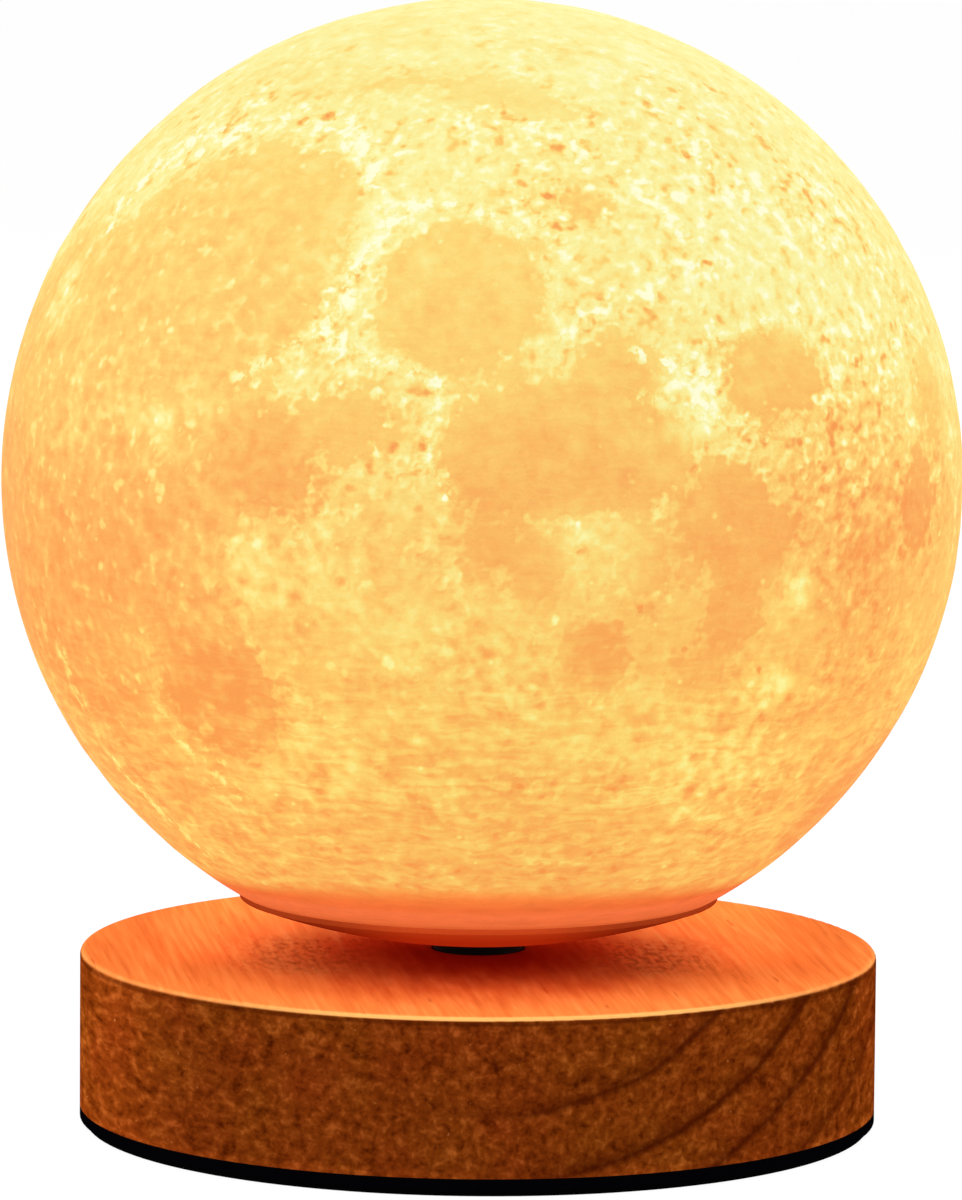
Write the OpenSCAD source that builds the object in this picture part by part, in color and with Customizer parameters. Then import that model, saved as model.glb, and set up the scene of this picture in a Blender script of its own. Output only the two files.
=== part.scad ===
// Moon lamp: a printed glowing moon that turns on a short black neck above a round wooden base.
// The base holds a rechargeable cell, a worm gear motor, a slip ring and the control board.
// Millimetres, +Z up. The origin is the middle of the footprint, and the ports face +Y.

/* [Moon] */
// Outer diameter of the moon
moon_d = 150; // [140:1:190]
// Thickness of the printed shell
shell_wall = 1.6; // [1.2:0.1:2.2]
// Diameter of the rim where the bottom cap closes the shell
rim_d = 75; // [74:1:86]
// Height of the bottom cap below that rim
cap_h = 7.5; // [7:0.1:9]
// Wall of the bottom cap
cap_wall = 2.2; // [1.8:0.1:2.6]

/* [Wooden base] */
// Diameter of the base
base_d = 125; // [124:1:160]
// Height of the wooden body
wood_h = 24.7; // [24.5:0.1:32]
// Thickness of the wood above the cavity
top_wall = 5.5; // [5:0.1:6.5]
// Thickness of the wood round the cavity
side_wall = 8.5; // [7.5:0.1:8.6]
// Radius of the rounded top edge
edge_r = 1; // [0.5:0.1:3]
// Thickness of the black bottom plate
plate_t = 1.8; // [1.6:0.1:3]
// Thickness of the rubber foot ring
foot_t = 1; // [0.6:0.1:2]
// Width of the rubber foot ring
foot_w = 16; // [6:1:30]

/* [Neck and spindle] */
// Diameter of the black neck between the base and the moon
neck_d = 14; // [13:0.5:18]
// Clear gap between the wood and the lowest point of the moon
head_gap = 1.6; // [1:0.1:6]
// Bore through the spindle for the lamp's wires
wire_bore_d = 7; // [6:0.1:7.4]
// Diameter of the flange that carries the moon
flange_d = 34; // [33:1:36]

/* [Drive] */
// Gear module
gear_module = 0.8; // [0.7:0.05:0.9]
// Teeth of the gear on the spindle
spindle_teeth = 42; // [38:2:42]
// Teeth of the pinion on the motor
pinion_teeth = 14; // [14:2:18]
// Face width of both gears
gear_w = 4; // [3:0.1:4.2]

/* [Battery] */
// Diameter of the rechargeable cell in its sleeve
cell_d = 18.4; // [14:0.1:18.6]
// Length of the rechargeable cell
cell_l = 65; // [50:1:66]

/* [Controls] */
// Diameter of the push buttons
button_d = 5.2; // [4:0.1:5.4]
// Travel of the push buttons
button_travel = 0.6; // [0.3:0.1:0.8]
// Height of the port plate
port_h = 14; // [11:0.5:16]
// Distance from the middle of the port plate to each button
button_x = 10.2; // [9.9:0.1:10.5]

/* [Hidden] */
$fn = 96;

// Clearances
fit = 0.1;           // between fixed pieces that plug together
running = 0.05;      // radial, between turning pieces
loose = 0.4;         // where a piece only has to pass
cut = 1;             // how far a cutting shape runs past a face

// Base levels and radii
base_r = base_d / 2;
plate_z = foot_t;
wood_z = plate_z + plate_t;
wood_top = wood_z + wood_h;
ceiling = wood_top - top_wall;
cavity_r = base_r - side_wall;

// Moon levels, measured from the wood upwards
moon_r = moon_d / 2;
rim_r = rim_d / 2;
rim_drop = sqrt(pow(moon_r, 2) - pow(rim_r, 2));
cap_low = wood_top + head_gap;
rim_z = cap_low + cap_h;
moon_z = rim_z + rim_drop;
inner_moon_r = moon_r - shell_wall;
opening_r = sqrt(pow(inner_moon_r, 2) - pow(rim_drop, 2));
cap_lip = 0.8;
dish_sag = cap_h - cap_lip;
dish_r = (pow(rim_r, 2) + pow(dish_sag, 2)) / (2 * dish_sag);
spigot_r = opening_r - 2 * fit;
spigot_wall = 2.2;
spigot_h = 4;
snap_bead = 0.6;
snap_catch = 0.3;
snap_z = rim_z + 1;

// Lamp unit inside the moon
tray_t = 1.5;
tray_rise = 8;
tray_z = rim_z + tray_rise - tray_t;
tray_r = opening_r - 0.7;
tray_post_r = 3;
tray_post_circle = spigot_r - spigot_wall - tray_post_r - loose;
tray_wire_r = wire_bore_d / 2 + 1.5;
led_seat_h = 3.4;
led_seat_wall = 3.5;
led_board_r = 18;
led_board_t = 1.6;
led_board_z = tray_z + tray_t + led_seat_h;
led_count = 12;
led_circle = 11.6;
led_size = [3.5, 2.8, 0.8];
led_screw_circle = led_board_r - led_seat_wall / 2;
lead_d = 1.2;
solder_gap = 0.2;
lamp_lead_r = 1.6;
lamp_lead_end_r = 8;

// Spindle stack, from the moon down
neck_r = neck_d / 2;
cap_seat_z = cap_low + 5.6;
flange_r = flange_d / 2;
flange_t = 2.4;
flange_screw_circle = flange_r - 4;
shoulder_z = wood_top - 2.3;
washer_t = 0.5;
journal_r = neck_r - 1;
sleeve_wall = 3;
sleeve_r = journal_r + sleeve_wall;
sleeve_top = shoulder_z - running - washer_t;
chassis_t = 2;
chassis_z = ceiling - chassis_t;
gear_top = chassis_z - 0.8;
gear_z = gear_top - gear_w;
seat_r = journal_r - 0.5;
seat_flat = seat_r - 0.8;
clip_t = 0.7;
clip_groove_r = seat_r - 0.9;
clip_gap = 0.1;
clip_z = gear_z - clip_gap - clip_t;
clip_mouth = 6;
clip_rim = 1.6;
spindle_end = clip_z - 0.8;

// Gear pair
pressure_angle = 20;
tooth_backlash = 0.14;
gear_pitch_r = gear_module * spindle_teeth / 2;
pinion_pitch_r = gear_module * pinion_teeth / 2;
gear_tip_r = gear_pitch_r + 0.8 * gear_module;
centre_distance = gear_pitch_r + pinion_pitch_r;

// Slip ring under the spindle
ring_body_r = 4.3;
ring_body_h = 8;
ring_top = spindle_end - 0.6;
ring_flange_r = 6;
ring_flange_t = 1;
rotor_r = wire_bore_d / 2 - 2 * fit;
rotor_top = spindle_end + 3;
rotor_pin_r = 1.5;
rotor_pin_low = ring_top - 6;
ring_notch = [4, 4.2];

// Worm gear motor, hung from the chassis
motor_x = -centre_distance;
box_size = [16, 18, 10.6];
box_low = gear_z - 1 - box_size[2];
box_x = motor_x - 10.6;
can_x = motor_x - 7.6;
can_r = 6;
can_flat = 5;
can_l = 16;
can_z = box_low + box_size[2] / 2;
motor_post_r = 2.5;
motor_screw_y = 7;
motor_screw_x = box_x + 2;
motor_shaft_r = 1.5;
motor_shaft_flat = 1;
motor_boss = [3.5, 0.5];
box_top = box_low + box_size[2];

// Cell, which lies in front of the spindle gear
cell_y = -(gear_tip_r + 3.9 + cell_d / 2);
cell_z = wood_z + 0.3 + cell_d / 2;
saddle_x = cell_l / 2 - 12;
saddle_t = 2;
saddle_w = cell_d + 4;
saddle_top = cell_z + 2;

// Chassis, which is cut clear of the cell
chassis_r = 22;
chassis_arm = [44, 20];
chassis_lobe_r = 5;
chassis_screw_spots = [[23, 0], [-39.5, 0], [-9, 29], [9, 29]];
plate_screw_circle = (base_r + cavity_r) / 2;
foot_edge = 1;

// Ports and control board, on one line across the back
port_z = wood_z + wood_h / 2;
port_w = 38;
port_corner = 3;
port_t = 2;
port_in_r = base_r - port_t;
slot_w = 28;
slot_h = 9;
usb_size = [8.94, 7.35, 3.26];
usb_corner = 1.3;
usb_tongue = [6.7, 0.7];
usb_face_y = base_r - 0.35;
board_t = 1.2;
board_z = port_z - usb_size[2] / 2 - board_t;
board_top = board_z + board_t;
board_back = base_r - 26.5;
board_neck = cavity_r - 4.5;
board_w = 34;
tongue_w = slot_w - 4 * loose;
board_post_x = 13;
board_post_y = board_back + 3;
board_post_r = 2.5;
chassis_bridge = [33, board_post_y + 5];
button_r = button_d / 2;
button_proud = 0.2;
button_flange_r = button_r + 0.6;
button_flange_t = 1;
button_flange_y = sqrt(pow(port_in_r, 2) - pow(button_x + button_flange_r, 2)) - 0.3;
switch_size = [6, 3.5, usb_size[2]];
switch_face_y = button_flange_y - button_flange_t - button_travel - 0.7;
plunger_r = 1.3;
plunger_in = 1.1;
nose_w = 2 * (button_x - button_flange_r - loose);
board_front = sqrt(pow(port_in_r, 2) - pow(nose_w / 2, 2)) - loose;
pipe_r = 0.7;
pipe_x = usb_size[0] / 2 + fit + 0.6 + pipe_r;
pipe_back_y = switch_face_y;
indicator_size = [1, 1.4, 2];
port_head_r = base_r - 0.3;
port_screw_angle = asin((port_w / 2 - 2.7) / port_head_r);

// Screws: [head diameter, head height, shank diameter, length under the head]
SCREW_M2 = [3.6, 1.2, 2, 6];
SCREW_M2_SHORT = [3.6, 1.2, 2, 4];
SCREW_M25 = [4.6, 1.5, 2.5, 6];
WOOD_SCREW = [5.4, 1.6, 3, 10];
WOOD_SCREW_SHORT = [4.6, 1.5, 2.5, 4];
PORT_SCREW = [3, 0.9, 1.6, 5];
MOTOR_SCREW = [3.6, 1.2, 2, 14];

// ---- Shared shapes ----

// A screw with its head's top at z = 0 and its shank pointing down.
module screw(size, countersunk = false) {
    head_r = size[0] / 2;
    slot_t = size[0] * 0.14;
    difference() {
        union() {
            translate([0, 0, -size[1]])
                cylinder(h = size[1], r1 = countersunk ? size[2] / 2 : head_r, r2 = head_r, $fn = 48);
            translate([0, 0, -size[1] - size[3]]) cylinder(h = size[3], d = size[2], $fn = 48);
        }
        for (turn = [0, 90]) rotate(turn)
            translate([-head_r * 0.55, -slot_t / 2, -size[1] * 0.5])
                cube([head_r * 1.1, slot_t, size[1]]);
    }
}

// The hole that such a screw needs, with room for its head.
module screw_hole(size, countersunk = false, play = fit) {
    if (countersunk)
        translate([0, 0, -size[1]])
            cylinder(h = size[1], r1 = size[2] / 2 + play, r2 = size[0] / 2 + play, $fn = 48);
    else
        translate([0, 0, -size[1]]) cylinder(h = size[1], r = size[0] / 2 + 2 * play, $fn = 48);
    translate([0, 0, -size[1] - size[3] - play])
        cylinder(h = size[1] + size[3], d = size[2] + 2 * play, $fn = 48);
    cylinder(h = cut, r = size[0] / 2 + 2 * play, $fn = 48);
}

// Copies its children onto a circle of posts or holes.
module around(count, radius, start = 0) {
    for (i = [0 : count - 1]) rotate(start + i * 360 / count) translate([radius, 0, 0]) children();
}

// A flat outline with rounded corners.
module rounded_outline(w, h, corner) {
    square([w - 2 * corner, h], center = true);
    square([w, h - 2 * corner], center = true);
    for (x = [-1, 1], y = [-1, 1])
        translate([x * (w / 2 - corner), y * (h / 2 - corner)]) circle(corner, $fn = 48);
}

// A bar along Y with rounded corners, centred on X and on height z.
module rounded_bar(w, h, corner, y0, y1, z) {
    translate([0, y1, z]) rotate([90, 0, 0]) linear_extrude(y1 - y0) rounded_outline(w, h, corner);
}

// A rod along Y.
module rod_y(r, x, y0, y1, z) {
    translate([x, y1, z]) rotate([90, 0, 0]) cylinder(h = y1 - y0, r = r, $fn = 48);
}

// One point of an involute, as [x, y], for a base radius and a roll angle in degrees.
function involute(base, roll) = base * [cos(roll) + roll * PI / 180 * sin(roll),
                                        sin(roll) - roll * PI / 180 * cos(roll)];
function roll_at(base, r) = sqrt(pow(r / base, 2) - 1) * 180 / PI;
function turned(p, angle) = [p[0] * cos(angle) - p[1] * sin(angle), p[0] * sin(angle) + p[1] * cos(angle)];

// One side of a tooth from root to tip, whose tooth is centred on the X axis.
function tooth_side(teeth) =
    let (pitch = gear_module * teeth / 2,
         base = pitch * cos(pressure_angle),
         root = pitch - gear_module,
         tip = pitch + 0.8 * gear_module,
         at_pitch = roll_at(base, pitch),
         half_tooth = 90 / teeth - tooth_backlash / 4 / pitch * 180 / PI,
         on_pitch = involute(base, at_pitch),
         shift = -atan2(on_pitch[1], on_pitch[0]) - half_tooth,
         start = max(base, root),
         steps = 4)
    concat(base > root ? [turned([root, 0], shift)] : [],
        [for (i = [0 : steps])
            turned(involute(base, roll_at(base, start + (tip - start) * i / steps)), shift)]);

function tooth(teeth) =
    let (side = tooth_side(teeth), n = len(side) - 1)
    concat(side, [for (i = [n : -1 : 0]) [side[i][0], -side[i][1]]]);

module gear_blank(teeth) {
    linear_extrude(gear_w)
        polygon([for (k = [0 : teeth - 1]) for (p = tooth(teeth)) turned(p, k * 360 / teeth)]);
}

// A shaft end with flats on both sides, or on one.
module flatted(r, flat, z0, z1, sides = 2) {
    intersection() {
        translate([0, 0, z0]) cylinder(h = z1 - z0, r = r);
        translate([-r - cut, sides == 2 ? -flat : -r - cut, z0])
            cube([2 * (r + cut), flat + (sides == 2 ? flat : r + cut), z1 - z0]);
    }
}

// A wire swept along a smooth curve through hand-set points.
function curve_point(p, i, t) =
    let (n = len(p) - 1, a = p[max(i - 1, 0)], b = p[i], c = p[i + 1], d = p[min(i + 2, n)])
    0.5 * (2 * b + (c - a) * t + (2 * a - 5 * b + 4 * c - d) * t * t + (3 * b - a - 3 * c + d) * t * t * t);
function curve(p, steps) =
    concat([for (i = [0 : len(p) - 2]) for (s = [0 : steps - 1]) curve_point(p, i, s / steps)],
        [p[len(p) - 1]]);
function unit(v) = v / norm(v);
function heading(p, i) = unit(p[min(i + 1, len(p) - 1)] - p[max(i - 1, 0)]);

module wire(points, d, side = [0, 0, 1], steps = 5, corners = 8) {
    line = curve(points, steps);
    last = len(line) - 1;
    rings = [for (i = [0 : last])
        let (along = heading(line, i), across = unit(cross(along, side)), up = cross(across, along))
        for (k = [0 : corners - 1])
            line[i] + d / 2 * (across * cos(k * 360 / corners) + up * sin(k * 360 / corners))];
    walls = [for (i = [0 : last - 1]) for (k = [0 : corners - 1])
        let (a = i * corners + k, b = i * corners + (k + 1) % corners)
        each [[a, b, b + corners], [a, b + corners, a + corners]]];
    ends = [[for (k = [corners - 1 : -1 : 0]) k], [for (k = [0 : corners - 1]) last * corners + k]];
    polyhedron(rings, concat(walls, ends));
}

// ---- The moon and its lamp unit ----

module moon_shell() {
    color([1, 0.86, 0.55])
    difference() {
        translate([0, 0, moon_z]) sphere(moon_r, $fn = 160);
        translate([0, 0, moon_z]) sphere(inner_moon_r, $fn = 160);
        translate([0, 0, rim_z - moon_r]) cylinder(h = moon_r, r = moon_r + cut);
    }
}

// The cap's rounded underside, moved inwards by a wall.
module dish(wall) {
    translate([0, 0, cap_low + dish_r]) sphere(dish_r - wall, $fn = 160);
}

// Screws that hold the spindle's flange to the cap, and the tray to its posts.
module at_flange_screws() {
    around(3, flange_screw_circle, 30) translate([0, 0, cap_seat_z + flange_t + SCREW_M25[1]]) children();
}
module at_tray_screws() {
    around(3, tray_post_circle, 90) translate([0, 0, tray_z + tray_t + SCREW_M2[1]]) children();
}
module at_led_board_screws() {
    around(3, led_screw_circle, 15)
        translate([0, 0, led_board_z + led_board_t + SCREW_M2_SHORT[1]]) children();
}

module cap_skin() {
    difference() {
        union() {
            intersection() {
                dish(0);
                translate([0, 0, cap_low]) cylinder(h = cap_h, r = rim_r);
            }
            translate([0, 0, rim_z]) cylinder(h = spigot_h, r = spigot_r);
            translate([0, 0, snap_z]) rotate_extrude()
                translate([opening_r + snap_catch - snap_bead, 0]) circle(snap_bead, $fn = 32);
        }
        intersection() {
            dish(cap_wall);
            translate([0, 0, cap_low]) cylinder(h = cap_h + spigot_h + cut, r = spigot_r - spigot_wall);
        }
    }
}

module bottom_cap() {
    color([0.93, 0.62, 0.42])
    difference() {
        union() {
            cap_skin();
            intersection() {
                dish(cap_wall / 2);
                union() {
                    translate([0, 0, cap_low])
                        cylinder(h = cap_seat_z - cap_low, r = flange_r + cap_wall / 2);
                    around(3, tray_post_circle, 90)
                        translate([0, 0, cap_low]) cylinder(h = tray_z - cap_low, r = tray_post_r);
                }
            }
        }
        translate([0, 0, cap_low - cut]) cylinder(h = cap_h + spigot_h, r = neck_r + fit);
        at_flange_screws() screw_hole(SCREW_M25);
        at_tray_screws() screw_hole(SCREW_M2);
    }
}

module led_tray() {
    color([0.95, 0.95, 0.93])
    difference() {
        union() {
            translate([0, 0, tray_z]) cylinder(h = tray_t, r = tray_r);
            translate([0, 0, tray_z]) cylinder(h = tray_t + led_seat_h, r = led_board_r);
        }
        translate([0, 0, tray_z + tray_t])
            cylinder(h = led_seat_h + cut, r = led_board_r - led_seat_wall);
        translate([0, 0, tray_z - cut]) cylinder(h = tray_t + 2 * cut, r = tray_wire_r);
        at_tray_screws() screw_hole(SCREW_M2);
        at_led_board_screws() screw_hole(SCREW_M2_SHORT);
    }
}

module tray_screws() {
    color([0.7, 0.7, 0.72]) at_tray_screws() screw(SCREW_M2);
}

module led_board() {
    color([0.92, 0.92, 0.9])
    difference() {
        translate([0, 0, led_board_z]) cylinder(h = led_board_t, r = led_board_r);
        translate([0, 0, led_board_z - cut]) cylinder(h = led_board_t + 2 * cut, r = wire_bore_d / 2);
        at_led_board_screws() screw_hole(SCREW_M2_SHORT);
    }
}

module led_chips() {
    color([1, 0.85, 0.4])
    around(led_count, led_circle)
        translate([-led_size[0] / 2, -led_size[1] / 2, led_board_z + led_board_t]) cube(led_size);
}

module led_board_screws() {
    color([0.7, 0.7, 0.72]) at_led_board_screws() screw(SCREW_M2_SHORT);
}

module led_leads() {
    tray_low = tray_z - 3;
    color([0.85, 0.1, 0.1])
    for (turn = [0, 120, 240]) rotate(turn)
        wire([[lamp_lead_r, 0, rotor_top], [lamp_lead_r, 0, rotor_top + 6], [lamp_lead_r, 0, tray_low],
            [lamp_lead_r + 1, 0, tray_z + 1], [lamp_lead_end_r - 3.4, 0, tray_z + 2.8],
            [lamp_lead_end_r - 0.8, 0, tray_z + 3.3], [lamp_lead_end_r, 0, led_board_z - solder_gap]],
            lead_d, side = [0, 1, 0]);
}

// ---- Spindle, bearing and slip ring ----

module spindle() {
    color([0.05, 0.05, 0.05])
    difference() {
        union() {
            translate([0, 0, cap_seat_z]) cylinder(h = flange_t, r = flange_r);
            translate([0, 0, shoulder_z]) cylinder(h = cap_seat_z - shoulder_z, r = neck_r);
            translate([0, 0, gear_top]) cylinder(h = shoulder_z - gear_top, r = journal_r);
            flatted(seat_r, seat_flat, spindle_end, gear_top);
        }
        translate([0, 0, spindle_end - cut])
            cylinder(h = cap_seat_z + flange_t - spindle_end + 2 * cut, r = wire_bore_d / 2);
        translate([0, 0, clip_z - clip_gap / 2]) difference() {
            cylinder(h = clip_t + clip_gap, r = seat_r + cut);
            translate([0, 0, -cut]) cylinder(h = clip_t + 2 * cut, r = clip_groove_r);
        }
        at_flange_screws() screw_hole(SCREW_M25);
    }
}

module spindle_screws() {
    color([0.7, 0.7, 0.72]) at_flange_screws() screw(SCREW_M25);
}

module thrust_washer() {
    color([0.9, 0.88, 0.8])
    translate([0, 0, sleeve_top]) difference() {
        cylinder(h = washer_t, r = sleeve_r);
        translate([0, 0, -cut]) cylinder(h = washer_t + 2 * cut, r = journal_r + fit);
    }
}

module spindle_gear() {
    web_in = seat_r + 2.5;
    web_out = gear_pitch_r - 3.5;
    web_cut = gear_w / 4;
    color([0.9, 0.9, 0.86])
    difference() {
        translate([0, 0, gear_z]) gear_blank(spindle_teeth);
        flatted(seat_r + fit / 2, seat_flat + fit / 2, gear_z - cut, gear_top + cut);
        translate([0, 0, gear_z - cut]) difference() {
            cylinder(h = web_cut + cut, r = web_out);
            translate([0, 0, -cut]) cylinder(h = gear_w, r = web_in);
        }
    }
}

module spindle_clip() {
    color([0.6, 0.6, 0.62])
    translate([0, 0, clip_z]) difference() {
        cylinder(h = clip_t, r = seat_r + clip_rim);
        translate([0, 0, -cut]) cylinder(h = clip_t + 2 * cut, r = clip_groove_r + fit / 2);
        translate([0, -clip_mouth / 2, -cut]) cube([seat_r + clip_rim + cut, clip_mouth, clip_t + 2 * cut]);
    }
}

module slip_ring_rotor() {
    color([0.2, 0.2, 0.22]) {
        translate([0, 0, ring_top + 2 * fit]) cylinder(h = rotor_top - ring_top - 2 * fit, r = rotor_r);
        translate([0, 0, rotor_pin_low]) cylinder(h = rotor_top - rotor_pin_low, r = rotor_pin_r);
    }
}

module slip_ring_body() {
    color([0.12, 0.12, 0.13])
    difference() {
        union() {
            translate([0, 0, ring_top - ring_body_h]) cylinder(h = ring_body_h, r = ring_body_r);
            translate([0, 0, ring_top - ring_flange_t]) cylinder(h = ring_flange_t, r = ring_flange_r);
        }
        translate([0, 0, rotor_pin_low - loose])
            cylinder(h = ring_top - rotor_pin_low + loose + cut, r = rotor_pin_r + running);
    }
}

module slip_ring_leads() {
    color([0.85, 0.75, 0.2])
    for (x = [-1, 1])
        wire([[x, ring_body_r, 5.8], [x, 8, 5.8], [x, 14, 4.8], [1.6 * x, 24, 4.8], [3 * x, 34, 6.5],
            [4 * x, board_back + 4, 9.5], [4 * x, board_back + 5, board_z - solder_gap]], lead_d);
}

// ---- Base and drive ----

module at_plate_screws() {
    around(4, plate_screw_circle, 45) translate([0, 0, plate_z]) rotate([180, 0, 0]) children();
}
module at_chassis_screws() {
    for (spot = chassis_screw_spots)
        translate([spot[0], spot[1], chassis_z - WOOD_SCREW_SHORT[1]]) rotate([180, 0, 0]) children();
}
module at_motor_screws() {
    for (y = [-motor_screw_y, motor_screw_y])
        translate([motor_screw_x, y, box_low]) rotate([180, 0, 0]) children();
}
module at_board_screws() {
    for (x = [-board_post_x, board_post_x])
        translate([x, board_post_y, board_z - SCREW_M2_SHORT[1]]) rotate([180, 0, 0]) children();
}
module at_port_screws() {
    for (turn = [-port_screw_angle, port_screw_angle])
        rotate(turn) translate([0, port_head_r, port_z]) rotate([-90, 0, 0]) children();
}

module wood_base() {
    color([0.72, 0.36, 0.16])
    difference() {
        translate([0, 0, wood_z]) rotate_extrude($fn = 160) {
            square([base_r, wood_h - edge_r]);
            square([base_r - edge_r, wood_h]);
            translate([base_r - edge_r, wood_h - edge_r]) circle(edge_r, $fn = 64);
        }
        translate([0, 0, wood_z - cut]) cylinder(h = wood_h - top_wall + cut, r = cavity_r);
        translate([0, 0, ceiling - cut]) cylinder(h = shoulder_z - ceiling + cut, r = sleeve_r + fit);
        translate([0, 0, ceiling]) cylinder(h = top_wall + cut, r = neck_r + loose);
        difference() {
            rounded_bar(port_w + 2 * fit, port_h + 2 * fit, port_corner + fit, base_r / 2, base_r + cut,
                port_z);
            translate([0, 0, wood_z]) cylinder(h = wood_h, r = port_in_r - fit);
        }
        rounded_bar(slot_w, slot_h, port_corner, cavity_r - side_wall, base_r, port_z);
        at_port_screws() screw_hole(PORT_SCREW);
        at_plate_screws() screw_hole(WOOD_SCREW, countersunk = true);
        at_chassis_screws() screw_hole(WOOD_SCREW_SHORT);
    }
}

module chassis() {
    color([0.16, 0.16, 0.17])
    difference() {
        union() {
            translate([0, 0, chassis_z]) linear_extrude(chassis_t) {
                circle(chassis_r);
                translate([-chassis_arm[0], -chassis_arm[1] / 2]) square(chassis_arm);
                translate([-chassis_bridge[0] / 2, 0]) square(chassis_bridge);
                translate(chassis_screw_spots[0]) circle(chassis_lobe_r);
            }
            translate([0, 0, chassis_z]) cylinder(h = sleeve_top - chassis_z, r = sleeve_r);
            for (y = [-motor_screw_y, motor_screw_y])
                translate([motor_screw_x, y, box_top]) cylinder(h = ceiling - box_top, r = motor_post_r);
            for (x = [-board_post_x, board_post_x])
                translate([x, board_post_y, board_top]) cylinder(h = ceiling - board_top, r = board_post_r);
        }
        translate([0, 0, chassis_z - cut])
            cylinder(h = sleeve_top - chassis_z + 2 * cut, r = journal_r + running);
        at_chassis_screws() screw_hole(WOOD_SCREW_SHORT);
        at_motor_screws() screw_hole(MOTOR_SCREW);
        at_board_screws() screw_hole(SCREW_M2_SHORT);
    }
}

module chassis_screws() {
    color([0.7, 0.7, 0.72]) at_chassis_screws() screw(WOOD_SCREW_SHORT);
}

module motor_gearbox() {
    color([0.85, 0.85, 0.82])
    difference() {
        union() {
            translate([box_x + box_size[0] / 2, 0, box_low])
                linear_extrude(box_size[2]) rounded_outline(box_size[0], box_size[1], 1.5);
            translate([motor_x, 0, box_top]) cylinder(h = motor_boss[1], r = motor_boss[0]);
        }
        translate([motor_x, 0, box_low + 2 - fit])
            cylinder(h = box_size[2] + cut, r = motor_shaft_r + running);
        at_motor_screws() screw_hole(MOTOR_SCREW);
    }
}

module motor_can() {
    can_y = box_size[1] / 2;
    color([0.74, 0.74, 0.76]) {
        intersection() {
            rod_y(can_r, can_x, can_y, can_y + can_l, can_z);
            translate([can_x - can_r - cut, can_y, can_z - can_flat])
                cube([2 * (can_r + cut), can_l, 2 * can_flat]);
        }
        rod_y(can_flat / 2, can_x, can_y, can_y + can_l + 1, can_z);
    }
}

module motor_screws() {
    color([0.7, 0.7, 0.72]) at_motor_screws() screw(MOTOR_SCREW);
}

module motor_shaft() {
    color([0.8, 0.8, 0.82])
    translate([motor_x, 0, 0]) {
        translate([0, 0, box_low + 2]) cylinder(h = box_size[2] - 1, r = motor_shaft_r);
        flatted(motor_shaft_r, motor_shaft_flat, box_low + box_size[2], gear_top, sides = 1);
    }
}

module motor_pinion() {
    color([0.9, 0.9, 0.86])
    translate([motor_x, 0, 0]) difference() {
        translate([0, 0, gear_z]) rotate(180 / pinion_teeth) gear_blank(pinion_teeth);
        flatted(motor_shaft_r + fit / 2, motor_shaft_flat + fit / 2, gear_z - cut, gear_top + cut, sides = 1);
    }
}

module motor_leads() {
    start = box_size[1] / 2 + can_l + solder_gap;
    color([0.1, 0.1, 0.6])
    for (x = [-1, 1])
        let (end_y = board_back + 7 - 1.5 * x)
        wire([[can_x + 4 * x, start, can_z], [can_x + 4 * x, start + 3, can_z], [-27 + 3 * x, 34 - x, 8],
            [-17, end_y - 3 - 0.5 * x, 9], [-11, end_y, 10.5], [-10, end_y, board_z - solder_gap]],
            lead_d);
}

module battery_cell() {
    end_step = 1;
    color([0.15, 0.35, 0.7])
    translate([0, cell_y, cell_z]) rotate([0, 90, 0]) {
        translate([0, 0, end_step - cell_l / 2]) cylinder(h = cell_l - 2 * end_step, d = cell_d);
        translate([0, 0, -cell_l / 2]) cylinder(h = cell_l, d = cell_d - 2 * end_step);
    }
}

module battery_leads() {
    start = cell_l / 2 + solder_gap;
    inner_y = board_back + 8;
    outer_y = board_back + 11;
    color([0.8, 0.1, 0.1]) {
        wire([[start, cell_y, 14], [start + 3, cell_y, 14], [40, -22, 12], [42, -6, 9], [38, 14, 8],
            [27, 32, 7], [14, inner_y, 9], [12, inner_y, 10.5], [12, inner_y, board_z - solder_gap]], lead_d);
        wire([[start, cell_y, 10], [start + 3, cell_y, 10], [42, -22, 9], [44.5, -6, 6.5], [40, 16, 6],
            [27, 37, 6], [16, outer_y - 0.5, 7], [9, outer_y, 9.5], [8, outer_y, board_z - solder_gap]],
            lead_d);
    }
}

module bottom_plate() {
    saddle_h = saddle_top - wood_z;
    boss_h = ring_top - ring_flange_t - wood_z;
    color([0.04, 0.04, 0.04])
    difference() {
        union() {
            translate([0, 0, plate_z]) cylinder(h = plate_t, r = base_r, $fn = 160);
            for (x = [-saddle_x, saddle_x])
                translate([x - saddle_t / 2, cell_y - saddle_w / 2, wood_z])
                    cube([saddle_t, saddle_w, saddle_h]);
            translate([0, 0, wood_z]) cylinder(h = boss_h, r = ring_flange_r);
        }
        translate([-cell_l / 2, cell_y, cell_z]) rotate([0, 90, 0])
            cylinder(h = cell_l, r = cell_d / 2 + fit);
        translate([0, 0, wood_z]) cylinder(h = boss_h + cut, r = ring_body_r + fit);
        translate([-ring_notch[0] / 2, 0, wood_z]) cube([ring_notch[0], ring_flange_r + cut, ring_notch[1]]);
        at_plate_screws() screw_hole(WOOD_SCREW, countersunk = true);
    }
}

module plate_screws() {
    color([0.7, 0.7, 0.72]) at_plate_screws() screw(WOOD_SCREW, countersunk = true);
}

module foot_ring() {
    outer = base_r - foot_edge;
    color([0.03, 0.03, 0.03])
    difference() {
        cylinder(h = foot_t, r = outer, $fn = 160);
        translate([0, 0, -cut]) cylinder(h = foot_t + 2 * cut, r = outer - foot_w, $fn = 160);
        around(4, plate_screw_circle, 45)
            translate([0, 0, -cut]) cylinder(h = foot_t + 2 * cut, r = WOOD_SCREW[0] / 2 + loose);
    }
}

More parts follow.
